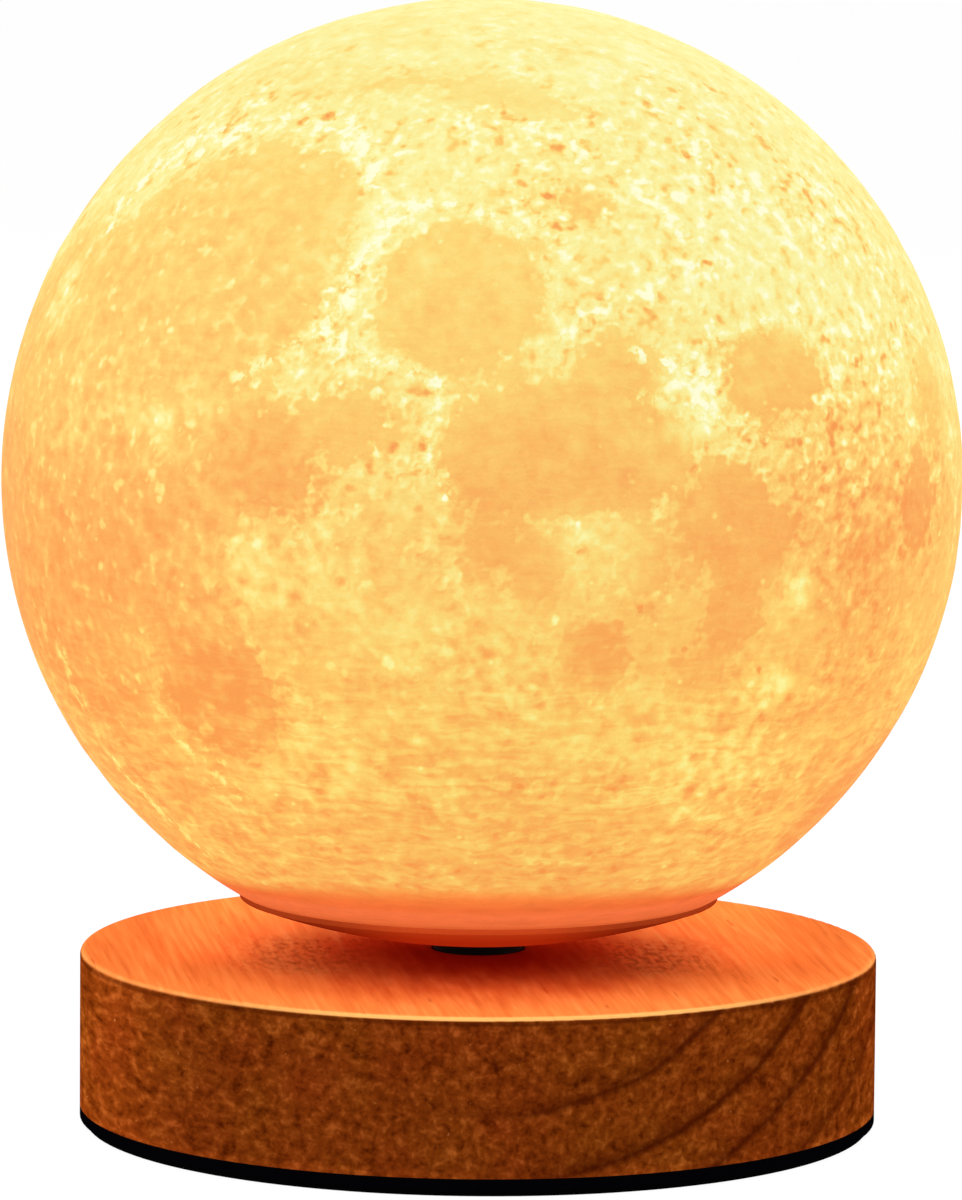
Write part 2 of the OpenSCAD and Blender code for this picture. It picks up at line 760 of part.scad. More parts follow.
// ---- Ports, buttons and electronics ----

// Parts on the control board: [x, distance from the board's back edge, width, length, height]
BOARD_PARTS = [[-4, 6.5, 5, 5, 0.9], [4, 8, 4.4, 4.4, 2.2], [-9, 11.5, 3, 3, 0.9], [9.5, 12, 3, 2.2, 1],
    [0.5, 14.5, 2, 1.3, 0.6], [-4.5, 14, 2, 1.3, 0.6], [0, 3, 1.6, 0.9, 0.5], [5, 3.2, 1.6, 0.9, 0.5]];

module control_board() {
    color([0.05, 0.35, 0.2])
    difference() {
        union() {
            translate([-board_w / 2, board_back, board_z]) cube([board_w, board_neck - board_back, board_t]);
            translate([-tongue_w / 2, board_back, board_z])
                cube([tongue_w, switch_face_y - board_back, board_t]);
            translate([-nose_w / 2, board_back, board_z]) cube([nose_w, board_front - board_back, board_t]);
            for (p = BOARD_PARTS)
                translate([p[0] - p[2] / 2, board_back + p[1] - p[3] / 2, board_z])
                    cube([p[2], p[3], board_t + p[4]]);
        }
        at_board_screws() screw_hole(SCREW_M2_SHORT);
    }
}

module board_screws() {
    color([0.7, 0.7, 0.72]) at_board_screws() screw(SCREW_M2_SHORT);
}

module usb_socket() {
    skin = 0.3;
    floor_y = usb_face_y - 6.2;
    color([0.75, 0.75, 0.77]) {
        difference() {
            rounded_bar(usb_size[0], usb_size[2], usb_corner, usb_face_y - usb_size[1], usb_face_y, port_z);
            rounded_bar(usb_size[0] - 2 * skin, usb_size[2] - 2 * skin, usb_corner - skin, floor_y,
                usb_face_y + cut, port_z);
        }
        rounded_bar(usb_tongue[0], usb_tongue[1], usb_tongue[1] * 0.4, floor_y - skin, usb_face_y - 0.8,
            port_z);
    }
}

module tact_switch(x) {
    difference() {
        translate([x - switch_size[0] / 2, switch_face_y - switch_size[1], board_top]) cube(switch_size);
        rod_y(plunger_r + fit, x, switch_face_y - plunger_in - 2 * button_travel, switch_face_y + cut,
            port_z);
    }
}

module plunger(x) {
    rod_y(plunger_r, x, switch_face_y - plunger_in, button_flange_y - button_flange_t, port_z);
}

module push_button(x) {
    intersection() {
        union() {
            rod_y(button_r, x, button_flange_y - button_flange_t, base_r + cut, port_z);
            rod_y(button_flange_r, x, button_flange_y - button_flange_t, button_flange_y, port_z);
        }
        cylinder(h = wood_top, r = base_r + button_proud);
    }
}

module light_switch() {
    color([0.1, 0.1, 0.1]) tact_switch(-button_x);
}
module turn_switch() {
    color([0.1, 0.1, 0.1]) tact_switch(button_x);
}
module light_switch_plunger() {
    color([0.85, 0.85, 0.85]) plunger(-button_x);
}
module turn_switch_plunger() {
    color([0.85, 0.85, 0.85]) plunger(button_x);
}
module light_button() {
    color([0.2, 0.2, 0.2]) push_button(-button_x);
}
module turn_button() {
    color([0.2, 0.2, 0.2]) push_button(button_x);
}

module indicator_led() {
    color([0.9, 0.95, 0.9])
    translate([pipe_x - indicator_size[0] / 2, pipe_back_y - indicator_size[1] - fit, board_top])
        cube(indicator_size);
}

module light_pipe() {
    color([0.9, 0.95, 1, 0.6])
    rod_y(pipe_r, pipe_x, pipe_back_y, sqrt(pow(base_r - fit, 2) - pow(pipe_x + pipe_r, 2)), port_z);
}

module port_plate() {
    color([0.06, 0.06, 0.06])
    difference() {
        intersection() {
            rounded_bar(port_w, port_h, port_corner, base_r / 2, base_r + cut, port_z);
            difference() {
                cylinder(h = wood_top, r = base_r - fit);
                translate([0, 0, -cut]) cylinder(h = wood_top + 2 * cut, r = port_in_r);
            }
        }
        rounded_bar(usb_size[0] + 2 * fit, usb_size[2] + 2 * fit, usb_corner + fit, base_r / 2,
            base_r + cut, port_z);
        for (x = [-button_x, button_x]) rod_y(button_r + fit, x, base_r / 2, base_r + cut, port_z);
        rod_y(pipe_r + fit / 2, pipe_x, base_r / 2, base_r + cut, port_z);
        at_port_screws() screw_hole(PORT_SCREW);
    }
}

module port_screws() {
    color([0.3, 0.3, 0.32]) at_port_screws() screw(PORT_SCREW);
}

moon_shell();
bottom_cap();
led_tray();
tray_screws();
led_board();
led_chips();
led_board_screws();
led_leads();
spindle();
spindle_screws();
thrust_washer();
spindle_gear();
spindle_clip();
slip_ring_rotor();
slip_ring_body();
slip_ring_leads();
wood_base();
chassis();
chassis_screws();
motor_gearbox();
motor_can();
motor_screws();
motor_shaft();
motor_pinion();
motor_leads();
battery_cell();
battery_leads();
bottom_plate();
plate_screws();
foot_ring();
control_board();
board_screws();
usb_socket();
light_switch();
turn_switch();
light_switch_plunger();
turn_switch_plunger();
indicator_led();
light_pipe();
light_button();
turn_button();
port_plate();
port_screws();
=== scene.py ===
import math

import bpy
import numpy as np
from mathutils import Matrix, Vector


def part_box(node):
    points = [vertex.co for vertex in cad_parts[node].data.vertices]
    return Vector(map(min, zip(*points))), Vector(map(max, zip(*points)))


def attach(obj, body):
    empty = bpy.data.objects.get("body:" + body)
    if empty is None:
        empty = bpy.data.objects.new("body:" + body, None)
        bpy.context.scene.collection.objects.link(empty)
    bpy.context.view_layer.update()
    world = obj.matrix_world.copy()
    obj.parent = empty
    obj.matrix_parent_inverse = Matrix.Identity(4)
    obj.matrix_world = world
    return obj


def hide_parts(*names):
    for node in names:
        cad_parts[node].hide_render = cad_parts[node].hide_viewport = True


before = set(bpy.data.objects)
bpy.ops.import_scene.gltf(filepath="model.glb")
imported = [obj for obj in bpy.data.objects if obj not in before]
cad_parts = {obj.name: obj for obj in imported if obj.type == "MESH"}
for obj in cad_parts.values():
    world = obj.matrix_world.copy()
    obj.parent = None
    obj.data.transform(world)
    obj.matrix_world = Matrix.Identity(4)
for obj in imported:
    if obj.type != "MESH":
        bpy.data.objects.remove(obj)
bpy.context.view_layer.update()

# A moon lamp: a glowing printed moon on a black neck above a round wooden base.
# Metres, +Z up, the photograph is taken from -Y. Materials and the moon's relief count in millimetres.

MM = 0.001
IMAGE_W, IMAGE_H = 962, 1200

shell_low, shell_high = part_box("moon_shell")
MOON_R = (shell_high.x - shell_low.x) / 2
MOON_Z = shell_high.z - MOON_R
RIM_Z = shell_low.z
WALL = 1.6 * MM
WOOD_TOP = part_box("wood_base")[1].z
EDGE_R = 1.0 * MM

# ---- Camera ----

CAMERA_DISTANCE = 18 * MOON_R
CAMERA_ELEVATION = math.radians(6.55)
CAMERA_PITCH = math.radians(7.35)
CAMERA_ROLL = math.radians(0.46)
SENSOR = 36
LENS = 259.44


def make_camera():
    data = bpy.data.cameras.new("camera")
    data.sensor_width = SENSOR
    data.lens = LENS
    data.clip_start = 0.05
    camera = bpy.data.objects.new("camera", data)
    bpy.context.scene.collection.objects.link(camera)
    place = Matrix.Translation((0, -CAMERA_DISTANCE * math.cos(CAMERA_ELEVATION),
                                MOON_Z + CAMERA_DISTANCE * math.sin(CAMERA_ELEVATION)))
    tilt = Matrix.Rotation(math.pi / 2 - CAMERA_PITCH, 4, "X")
    camera.matrix_world = place @ tilt @ Matrix.Rotation(CAMERA_ROLL, 4, "Z")
    bpy.context.scene.camera = camera
    return camera


camera = make_camera()


def on_moon(u, v):
    """The direction from the moon's centre to what shows at pixel (u, v) of the photograph."""
    focal = LENS / SENSOR * IMAGE_H
    ray = Vector(((u - IMAGE_W / 2) / focal, (IMAGE_H / 2 - v) / focal, -1))
    ray = (camera.matrix_world.to_3x3() @ ray).normalized()
    start = camera.matrix_world.translation - Vector((0, 0, MOON_Z))
    middle = -start.dot(ray)
    reach = MOON_R ** 2 - (start + ray * middle).length_squared
    return np.array((start + ray * (middle - math.sqrt(max(reach, 0)))).normalized())


def at_angles(azimuth, latitude):
    """A direction given by its angle east of the front and its latitude."""
    a, t = math.radians(azimuth), math.radians(latitude)
    return np.array((math.sin(a) * math.cos(t), -math.cos(a) * math.cos(t), math.sin(t)))


# ---- Places on the moon, read one by one: pixels in the photograph, sizes in degrees on the sphere ----

# [u, v, half width, half height, turn, depth of tone]
NEAR_MARIA = [
    [463, 293, 10.2, 9.8, 0, 0.30],
    [262, 222, 13.5, 11.5, -25, 0.33],
    [205, 245, 14.0, 11.5, -30, 0.32],
    [215, 330, 14, 8, 25, 0.33],
    [130, 300, 16, 12, 60, 0.31],
    [60, 320, 14, 14, 70, 0.26],
    [20, 380, 14, 16, 80, 0.26],
    [70, 460, 19, 15, 80, 0.26],
    [20, 540, 16, 14, 80, 0.24],
    [60, 600, 16, 11, 80, 0.22],
    [150, 570, 11, 8.5, 0, 0.25],
    [215, 695, 8.5, 8.0, 30, 0.35],
    [250, 725, 3.5, 3.2, 0, 0.26],
    [185, 625, 7, 5, 60, 0.18],
    [105, 672, 8, 7, 60, 0.16],
    [340, 425, 8.0, 3.8, 10, 0.28],
    [255, 455, 8.5, 6.5, -30, 0.42],
    [190, 500, 10, 5, 10, 0.30],
    [205, 410, 7, 4.5, 10, 0.20],
    [575, 442, 12.5, 8.2, -6, 0.34],
    [500, 470, 6.5, 6.5, 0, 0.32],
    [518, 392, 6.0, 3.6, 0, 0.24],
    [622, 372, 5.5, 5.5, -35, 0.30],
    [650, 450, 5.6, 6.2, 0, 0.26],
    [500, 545, 4.0, 4.0, 0, 0.22],
    [535, 575, 3.4, 5.0, 0, 0.22],
    [596, 660, 4.6, 4.2, 0, 0.22],
    [725, 520, 6.8, 6.8, 0, 0.30],
    [760, 545, 5.0, 5.5, 0, 0.26],
    [738, 602, 4.0, 6.5, -15, 0.24],
    [702, 672, 4, 3.2, 0, 0.16],
    [650, 560, 3.6, 4.0, 0, 0.16],
    [770, 375, 6.6, 6.6, 0, 0.36],
    [782, 372, 5.6, 5.4, 0, 0.36],
    [518, 100, 8.0, 2.4, -12, 0.20],
    [430, 82, 8, 1.8, 0, 0.16],
    [590, 205, 3.0, 2.2, 0, 0.20],
    [930, 395, 4.5, 5, 0, 0.24],
    [918, 505, 4.5, 6, 0, 0.24],
]

# The side that the photograph doesn't show: [azimuth, latitude, half width, half height, turn, depth]
FAR_MARIA = [
    [128, 27, 6, 5, 0, 0.36], [109, -20, 4, 4.6, 0, 0.42], [144, -33, 7, 5, 20, 0.36],
    [-112, -19, 7, 6, 0, 0.38], [171, -50, 17, 12, 0, 0.20], [75, -39, 12, 9, 30, 0.22],
    [-160, 10, 4, 3.4, 0, 0.26], [-92, 35, 6, 4, 40, 0.30], [-130, 38, 3.4, 3, 0, 0.24],
    [166, -15, 3.2, 3, 0, 0.3], [-85, -5, 5, 8, 10, 0.3], [95, 12, 4, 3, 0, 0.26],
]

# Bright mountain chains: [width, strength, then the line's pixels]
CHAINS = [
    [1.5, 0.34, (112, 212), (130, 195), (158, 170), (186, 144), (212, 131), (246, 128),
     (276, 122), (300, 110)],
    [1.2, 0.30, (90, 250), (112, 225), (135, 190), (160, 160), (200, 128)],
    [1.5, 0.30, (345, 112), (356, 132), (366, 158), (376, 190)],
    [1.0, 0.36, (236, 377), (262, 362), (290, 346), (318, 330)],
    [1.7, 0.33, (318, 330), (335, 312), (346, 292), (356, 265), (372, 240), (390, 222)],
    [2.4, 0.12, (335, 300), (345, 262), (352, 232), (385, 205)],
    [1.2, 0.32, (330, 345), (362, 352), (396, 364), (420, 376), (440, 386)],
    [0.9, 0.08, (440, 386), (470, 384), (510, 384), (550, 374)],
    [1.3, 0.26, (392, 216), (418, 203), (455, 205), (492, 216), (522, 232)],
    [1.6, 0.42, (640, 352), (665, 364), (690, 374), (712, 380)],
    [1.6, 0.46, (700, 372), (708, 392), (716, 412)],
    [1.2, 0.24, (636, 396), (664, 402), (700, 404)],
    [1.2, 0.26, (715, 345), (735, 328), (770, 318), (805, 326)],
    [1.1, 0.20, (820, 345), (836, 372), (832, 400), (815, 420)],
    [1.2, 0.26, (735, 418), (765, 430), (800, 424)],
    [1.0, 0.28, (175, 735), (196, 756), (222, 780), (246, 800)],
    [0.9, 0.22, (150, 700), (172, 722), (200, 744), (226, 768)],
    [0.8, 0.16, (190, 770), (215, 790), (240, 812)],
    [1.1, 0.20, (565, 372), (560, 330), (548, 290), (545, 260)],
    [1.2, 0.22, (455, 500), (430, 470), (425, 430), (440, 400)],
    [1.6, 0.26, (62, 655), (85, 712), (120, 768), (165, 818), (205, 852)],
    [1.6, 0.16, (952, 560), (956, 500), (950, 420), (938, 360)],
    [1.4, 0.16, (30, 250), (60, 190), (110, 120)],
]

# Soft patches of brighter or darker highland: [u, v, half width, half height, turn, strength]
PATCHES = [
    [455, 560, 8, 7, 0, -0.03], [500, 645, 6, 5, 0, 0.12], [385, 505, 6, 4, 0, -0.02],
    [362, 588, 5, 5, 0, 0.06], [440, 455, 4, 7, 0, 0.02], [610, 560, 4.5, 4, 0, 0.12],
    [570, 528, 4, 2.5, 20, 0.10], [350, 262, 5.5, 8, -30, 0.09], [156, 424, 2.4, 2.0, 0, 0.08],
    [62, 295, 3, 3, 0, 0.24], [707, 770, 7, 5, 0, 0.22], [794, 588, 2.4, 2.2, 0, 0.28],
    [770, 688, 3.6, 2.4, 0, 0.22], [690, 400, 3, 4, 0, 0.26], [650, 720, 9, 6, 0, 0.06],
    [330, 760, 12, 6, 0, 0.10], [560, 700, 9, 5, 0, 0.08], [865, 485, 9, 11, 0, -0.28],
    [935, 520, 6, 8, 0, -0.14], [860, 640, 8, 10, 0, -0.12], [640, 640, 7, 5, 0, -0.12],
    [560, 190, 8, 5, 0, -0.14], [590, 215, 3, 2.4, 0, -0.14], [780, 470, 6, 5, 0, -0.10],
    [440, 75, 8, 3, 0, -0.10], [180, 405, 11, 6, 0, 0.06], [120, 445, 8, 6, 0, 0.04],
    [245, 565, 9, 6, 0, 0.12], [300, 80, 10, 5, 0, -0.12], [70, 410, 1.3, 10, 0, 0.10],
    [170, 620, 5, 5, 0, 0.06], [740, 640, 5, 5, 0, -0.05],
    [420, 640, 7, 4, 0, 0.05], [480, 820, 16, 5, 0, -0.02],
    [820, 270, 12, 14, 0, 0.06], [700, 230, 12, 10, 0, 0.05], [620, 60, 12, 6, 0, 0.04],
]

# Small bright (or dark) places, mostly young craters: [u, v, radius in mm, strength]
SPOTS = [
    [375, 393, 1.5, 0.55], [157, 420, 1.7, 0.36], [150, 432, 1.2, 0.24], [64, 292, 1.6, 0.65],
    [73, 275, 1.0, 0.45], [170, 330, 1.0, 0.60], [230, 283, 1.5, 0.38], [161, 272, 0.8, 0.40],
    [63, 476, 0.9, 0.50], [100, 567, 1.0, 0.60], [181, 585, 0.9, 0.50], [158, 499, 0.9, 0.50],
    [256, 544, 1.2, 0.50], [228, 552, 1.5, 0.35], [245, 520, 1.2, 0.30], [140, 630, 0.9, 0.45],
    [445, 497, 0.8, 1.10], [440, 484, 0.6, 0.50], [578, 526, 1.3, 1.00], [435, 383, 1.4, 0.60],
    [388, 664, 1.3, 0.55], [330, 665, 1.2, 0.35], [345, 672, 0.9, 0.30], [796, 586, 1.6, 0.40],
    [752, 684, 1.0, 0.45], [555, 620, 1.2, 0.65], [500, 388, 0.9, 0.50], [486, 385, 0.7, 0.40],
    [580, 312, 1.2, 0.50], [795, 309, 1.2, 0.60], [524, 160, 1.3, 0.50], [458, 125, 1.6, 0.35],
    [303, 165, 1.0, 0.45], [304, 150, 0.7, 0.40], [298, 228, 1.1, 0.35], [335, 259, 1.3, 0.40],
    [325, 330, 1.6, 0.50], [350, 302, 1.2, 0.45], [220, 410, 0.8, 0.35], [118, 372, 0.7, 0.35],
    [310, 488, 0.9, 0.35], [407, 668, 0.9, 0.40], [200, 702, 0.7, 0.40], [248, 703, 0.8, 0.35],
    [160, 680, 0.8, 0.40], [110, 600, 0.8, 0.35], [365, 585, 1.6, 0.35], [455, 575, 2.0, 0.30],
    [497, 640, 2.2, 0.30], [698, 380, 1.6, 0.40], [712, 408, 1.4, 0.45], [825, 408, 1.4, 0.30],
    [765, 402, 0.7, 0.30], [790, 385, 0.6, 0.30], [716, 516, 0.9, 0.35], [650, 420, 0.8, 0.30],
    [327, 115, 1.9, -0.80], [390, 108, 1.2, -0.45], [712, 89, 1.7, -0.65], [704, 83, 1.2, -0.50],
    [650, 105, 1.4, -0.60], [731, 165, 1.0, -0.80], [668, 141, 1.1, -0.45], [690, 155, 1.0, -0.40],
    [712, 175, 0.8, -0.40], [615, 233, 1.4, -0.40], [560, 180, 1.0, -0.40], [483, 182, 0.8, -0.45],
    [431, 190, 0.9, -0.35], [826, 252, 0.9, -0.35], [735, 275, 1.0, -0.35], [895, 355, 1.2, -0.45],
    [852, 340, 0.8, -0.40], [760, 670, 0.8, -0.40], [685, 650, 0.8, -0.35], [640, 610, 0.9, -0.35],
]

# Craters that are modelled in the surface: [u, v, radius in mm, depth in mm]
NEAR_CRATERS = [
    [157, 421, 2.6, 0.30], [327, 117, 2.0, 0.22], [64, 292, 1.8, 0.25], [578, 526, 2.6, 0.30],
    [590, 543, 2.5, 0.22], [794, 588, 3.2, 0.30], [768, 655, 3.2, 0.26], [708, 769, 2.6, 0.28],
    [700, 395, 1.6, 0.22], [375, 393, 1.7, 0.22], [435, 383, 1.6, 0.20], [524, 158, 2.2, 0.24],
    [458, 126, 2.6, 0.24], [232, 330, 2.0, 0.20], [335, 259, 1.8, 0.20], [715, 250, 2.4, 0.20],
    [735, 205, 2.2, 0.20], [650, 106, 1.8, 0.22], [712, 87, 2.2, 0.22], [795, 312, 1.8, 0.20],
    [300, 800, 3.0, 0.30], [360, 700, 3.4, 0.22], [405, 745, 3.0, 0.22], [470, 700, 2.8, 0.20],
    [520, 735, 2.4, 0.20], [590, 760, 2.8, 0.22], [640, 800, 2.4, 0.20], [455, 620, 2.8, 0.18],
    [420, 580, 3.0, 0.18], [410, 540, 2.6, 0.18], [440, 830, 2.4, 0.20], [820, 640, 2.2, 0.20],
]


# ---- Fields over the moon ----

MARE_LIMIT = 8                     # degrees at which the field of the maria stops
MERGE = 1.2                        # how sharply two maria join, for each degree
CHAIN_STEPS = 6                    # points along each piece of a chain
CRATER_COUNT, CRATER_SEED = 900, 7
CRATER_LEAST, CRATER_MOST = 1.3, 5.0
CRATER_DEPTHS = 0.03, 0.055        # as shares of the radius
CRATER_REACH = 2.1                 # where a crater's apron ends, in radii
WAVE_COUNT, WAVE_SEED = 70, 11
WAVE_RATES, WAVE_HEIGHT = (9, 46), 0.012
MARE_STEP, SURFACE_DROP = 0.10, 0.14
RELIEF_LOW, RELIEF_HIGH = -0.5, 0.45
SMOOTH_BAND = -0.83, -0.79         # no relief below this, as shares of the radius


def smooth(x, low, high):
    t = np.clip((x - low) / (high - low), 0, 1)
    return t * t * (3 - 2 * t)


def ellipse_field(dirs, centre, half_w, half_h, turn):
    """How far inside an ellipse on the sphere each direction lies, in degrees; negative outside."""
    east = np.cross((0, 0, 1), centre)
    east /= np.linalg.norm(east)
    north = np.cross(centre, east)
    angle = np.degrees(np.arccos(np.clip(dirs @ centre, -1, 1)))
    x, y = dirs @ east, dirs @ north
    flat = np.hypot(x, y) + 1e-9
    x, y = x / flat * angle, y / flat * angle
    c, s = math.cos(math.radians(turn)), math.sin(math.radians(turn))
    reach = np.hypot((x * c + y * s) / half_w, (y * c - x * s) / half_h)
    return (1 - reach) * min(half_w, half_h)


def chain_field(dirs, width, pixels):
    """A ridge along a line of pixels, from 1 on the line to 0 beyond its width."""
    best = np.full(len(dirs), -1.0)
    for (u0, v0), (u1, v1) in zip(pixels, pixels[1:]):
        for t in np.linspace(0, 1, CHAIN_STEPS):
            best = np.maximum(best, dirs @ on_moon(u0 + (u1 - u0) * t, v0 + (v1 - v0) * t))
    away = np.degrees(np.arccos(np.clip(best, -1, 1)))
    return np.exp(-(away / (0.8 * width)) ** 2)


def maria(dirs):
    """The signed field of all the maria in degrees, and how deep the tone is."""
    joined = np.full(len(dirs), -5.0 * MARE_LIMIT)
    weight, depth = np.full(len(dirs), 1e-6), np.zeros(len(dirs))
    places = [(on_moon(m[0], m[1]), m) for m in NEAR_MARIA]
    places += [(at_angles(m[0], m[1]), m) for m in FAR_MARIA]
    for centre, (_, _, half_w, half_h, turn, tone) in places:
        field = ellipse_field(dirs, centre, half_w, half_h, turn)
        joined = np.logaddexp(joined * MERGE, field * MERGE) / MERGE
        share = np.exp(np.clip(field, -20, 4) / 1.5)
        weight += share
        depth += share * tone
    return np.clip(joined, -MARE_LIMIT, MARE_LIMIT), depth / weight


def mountains(dirs):
    total = np.zeros(len(dirs))
    for width, strength, *pixels in CHAINS:
        total = np.maximum(total, strength * chain_field(dirs, width, pixels))
    return total


def patches(dirs):
    total = np.zeros(len(dirs))
    for u, v, half_w, half_h, turn, strength in PATCHES:
        field = ellipse_field(dirs, on_moon(u, v), half_w, half_h, turn)
        total += strength * smooth(field, -0.9 * min(half_w, half_h), 0.6 * min(half_w, half_h))
    return total


def random_craters():
    """Directions, radii and relative depths of scattered craters, many small and few large."""
    rng = np.random.default_rng(CRATER_SEED)
    dirs = rng.normal(size=(CRATER_COUNT, 3))
    dirs /= np.linalg.norm(dirs, axis=1)[:, None]
    radii = CRATER_LEAST * rng.uniform(0.06, 1, CRATER_COUNT) ** -0.55
    return dirs, np.minimum(radii, CRATER_MOST), rng.uniform(*CRATER_DEPTHS, CRATER_COUNT)


def crater_shape(r):
    """Height across a crater: a bowl of depth 1, a raised rim at r = 1 and an apron that dies away."""
    bowl = np.where(r < 1, -1 + 1.35 * r ** 3, 0)
    rim = np.where(r < 1, 0, 0.35 * np.exp(-((r - 1) / 0.32) ** 2))
    return bowl + rim


def crater(dirs, spot, radius):
    """Which directions a crater reaches, and its shape there."""
    size = MOON_R / MM
    near = dirs @ spot > math.cos(CRATER_REACH * radius / size)
    away = np.arccos(np.clip(dirs[near] @ spot, -1, 1)) * size / radius
    return near, crater_shape(away)


def relief(dirs, mare):
    """Height of the surface above the sphere in mm, calmer at the moon's sides than on its face."""
    height = np.zeros(len(dirs))
    highland = 1 - smooth(mare, -1.5, 1.0)
    for spot, radius, ratio in zip(*random_craters()):
        near, shape = crater(dirs, spot, radius)
        height[near] += ratio * radius * shape * (0.25 + 0.75 * highland[near])
    for u, v, radius, depth in NEAR_CRATERS:
        near, shape = crater(dirs, on_moon(u, v), radius)
        height[near] += depth * shape
    height += MARE_STEP * (highland - 0.5) - SURFACE_DROP
    rng = np.random.default_rng(WAVE_SEED)
    for _ in range(WAVE_COUNT):
        axis = rng.normal(size=3)
        axis *= rng.uniform(*WAVE_RATES) / np.linalg.norm(axis)
        height += WAVE_HEIGHT * highland * np.sin(dirs @ axis + rng.uniform(0, 6.3))
    calm = 0.45 + 0.55 * smooth(np.abs(dirs[:, 1]), 0.1, 0.5)
    return np.clip(height, RELIEF_LOW, RELIEF_HIGH) * smooth(dirs[:, 2], *SMOOTH_BAND) * calm


# ---- Mesh code ----

OUTER_CUTS, INNER_CUTS = 94, 28    # parts that each edge of the icosahedron is cut into
CREASE = 50                        # degrees between faces above which an edge stays sharp
LAST_ANGLE = 9                     # more than any angle in radians, for a ring that is used up


def geodesic(frequency):
    """Unit vectors and triangles of an icosahedron whose edges are cut into equal parts."""
    g = (1 + math.sqrt(5)) / 2
    corners = np.array([(-1, g, 0), (1, g, 0), (-1, -g, 0), (1, -g, 0), (0, -1, g), (0, 1, g),
                        (0, -1, -g), (0, 1, -g), (g, 0, -1), (g, 0, 1), (-g, 0, -1), (-g, 0, 1)])
    corners /= np.linalg.norm(corners[0])
    sides = [(0, 11, 5), (0, 5, 1), (0, 1, 7), (0, 7, 10), (0, 10, 11), (1, 5, 9), (5, 11, 4),
             (11, 10, 2), (10, 7, 6), (7, 1, 8), (3, 9, 4), (3, 4, 2), (3, 2, 6), (3, 6, 8),
             (3, 8, 9), (4, 9, 5), (2, 4, 11), (6, 2, 10), (8, 6, 7), (9, 8, 1)]
    grid = [(i, j) for i in range(frequency + 1) for j in range(frequency + 1 - i)]
    place = {ij: k for k, ij in enumerate(grid)}
    ij = np.array(grid) / frequency
    small = [(place[i, j], place[i + 1, j], place[i, j + 1]) for i, j in grid if i + j < frequency]
    small += [(place[i + 1, j], place[i + 1, j + 1], place[i, j + 1]) for i, j in grid
              if i + j < frequency - 1]
    points, faces = [], []
    for n, (a, b, c) in enumerate(sides):
        a, b, c = corners[[a, b, c]]
        flat = a + (b - a) * ij[:, :1] + (c - a) * ij[:, 1:]
        points.append(flat / np.linalg.norm(flat, axis=1)[:, None])
        faces.append(np.array(small) + n * len(grid))
    points, faces = np.concatenate(points), np.concatenate(faces)
    _, first, merged = np.unique(np.round(points, 7), axis=0, return_index=True, return_inverse=True)
    return points[first], merged.reshape(-1)[faces]


def open_below(points, faces, level):
    """Cuts a unit sphere open at a height and sets its edge on that circle. The edge comes in order."""
    below = points[:, 2] < level
    faces = faces[~below[faces].all(axis=1)]
    used, faces = np.unique(faces, return_inverse=True)
    faces = faces.reshape(-1, 3)
    points, below = points[used].copy(), below[used]
    flat = points[below][:, :2]
    ring_r = math.sqrt(1 - level ** 2)
    points[below, :2] = flat / np.linalg.norm(flat, axis=1)[:, None] * ring_r
    points[below, 2] = level
    edge = np.flatnonzero(below)
    order = np.argsort(np.arctan2(points[edge, 1], points[edge, 0]))
    return points, faces, edge[order]


def zip_rings(points, outer, inner):
    """Triangles between two rings that are both in order of angle."""
    angle = np.arctan2(points[:, 1], points[:, 0])
    faces, i, j = [], 0, 0
    while i < len(outer) or j < len(inner):
        a, b = outer[i % len(outer)], inner[j % len(inner)]
        next_a = angle[outer[i]] if i < len(outer) else LAST_ANGLE
        next_b = angle[inner[j]] if j < len(inner) else LAST_ANGLE
        if next_a <= next_b:
            faces.append((a, b, outer[(i + 1) % len(outer)]))
            i += 1
        else:
            faces.append((a, b, inner[(j + 1) % len(inner)]))
            j += 1
    return faces


def mesh_object(name, points, faces, smooth_angle=None):
    mesh = bpy.data.meshes.new(name)
    mesh.from_pydata([tuple(p) for p in points], [], [tuple(int(k) for k in f) for f in faces])
    mesh.validate()
    mesh.update()
    piece = bpy.data.objects.new(name, mesh)
    bpy.context.scene.collection.objects.link(piece)
    mesh.shade_smooth()
    if smooth_angle:
        mesh.set_sharp_from_angle(angle=math.radians(smooth_angle))
    return piece


def add_attribute(piece, name, values):
    layer = piece.data.attributes.new(name, "FLOAT", "POINT")
    layer.data.foreach_set("value", np.asarray(values, np.float32))


def make_moon():
    """The printed shell: an outer surface with relief, a smooth inner one and a rim between them."""
    rim = (RIM_Z - MOON_Z) / MOON_R
    inner_r = MOON_R - WALL
    outer, outer_faces, outer_edge = open_below(*geodesic(OUTER_CUTS), rim)
    inner, inner_faces, inner_edge = open_below(*geodesic(INNER_CUTS), (RIM_Z - MOON_Z) / inner_r)
    mare, depth = maria(outer)
    height = relief(outer, mare)
    points = np.concatenate([outer * (MOON_R + height * MM)[:, None], inner * inner_r])
    inner_faces = inner_faces[:, ::-1] + len(outer)
    rim_faces = zip_rings(points, outer_edge, inner_edge + len(outer))
    points[:, 2] += MOON_Z
    piece = mesh_object("moon_print", points, [*outer_faces, *inner_faces, *rim_faces], CREASE)
    rest = np.zeros(len(inner))
    add_attribute(piece, "mare", np.concatenate([mare, rest - MARE_LIMIT]))
    for name, values in (("depth", depth), ("mountains", mountains(outer)),
                         ("patches", patches(outer)), ("relief", height)):
        add_attribute(piece, name, np.concatenate([values, rest]))
    return piece


# ---- Materials ----

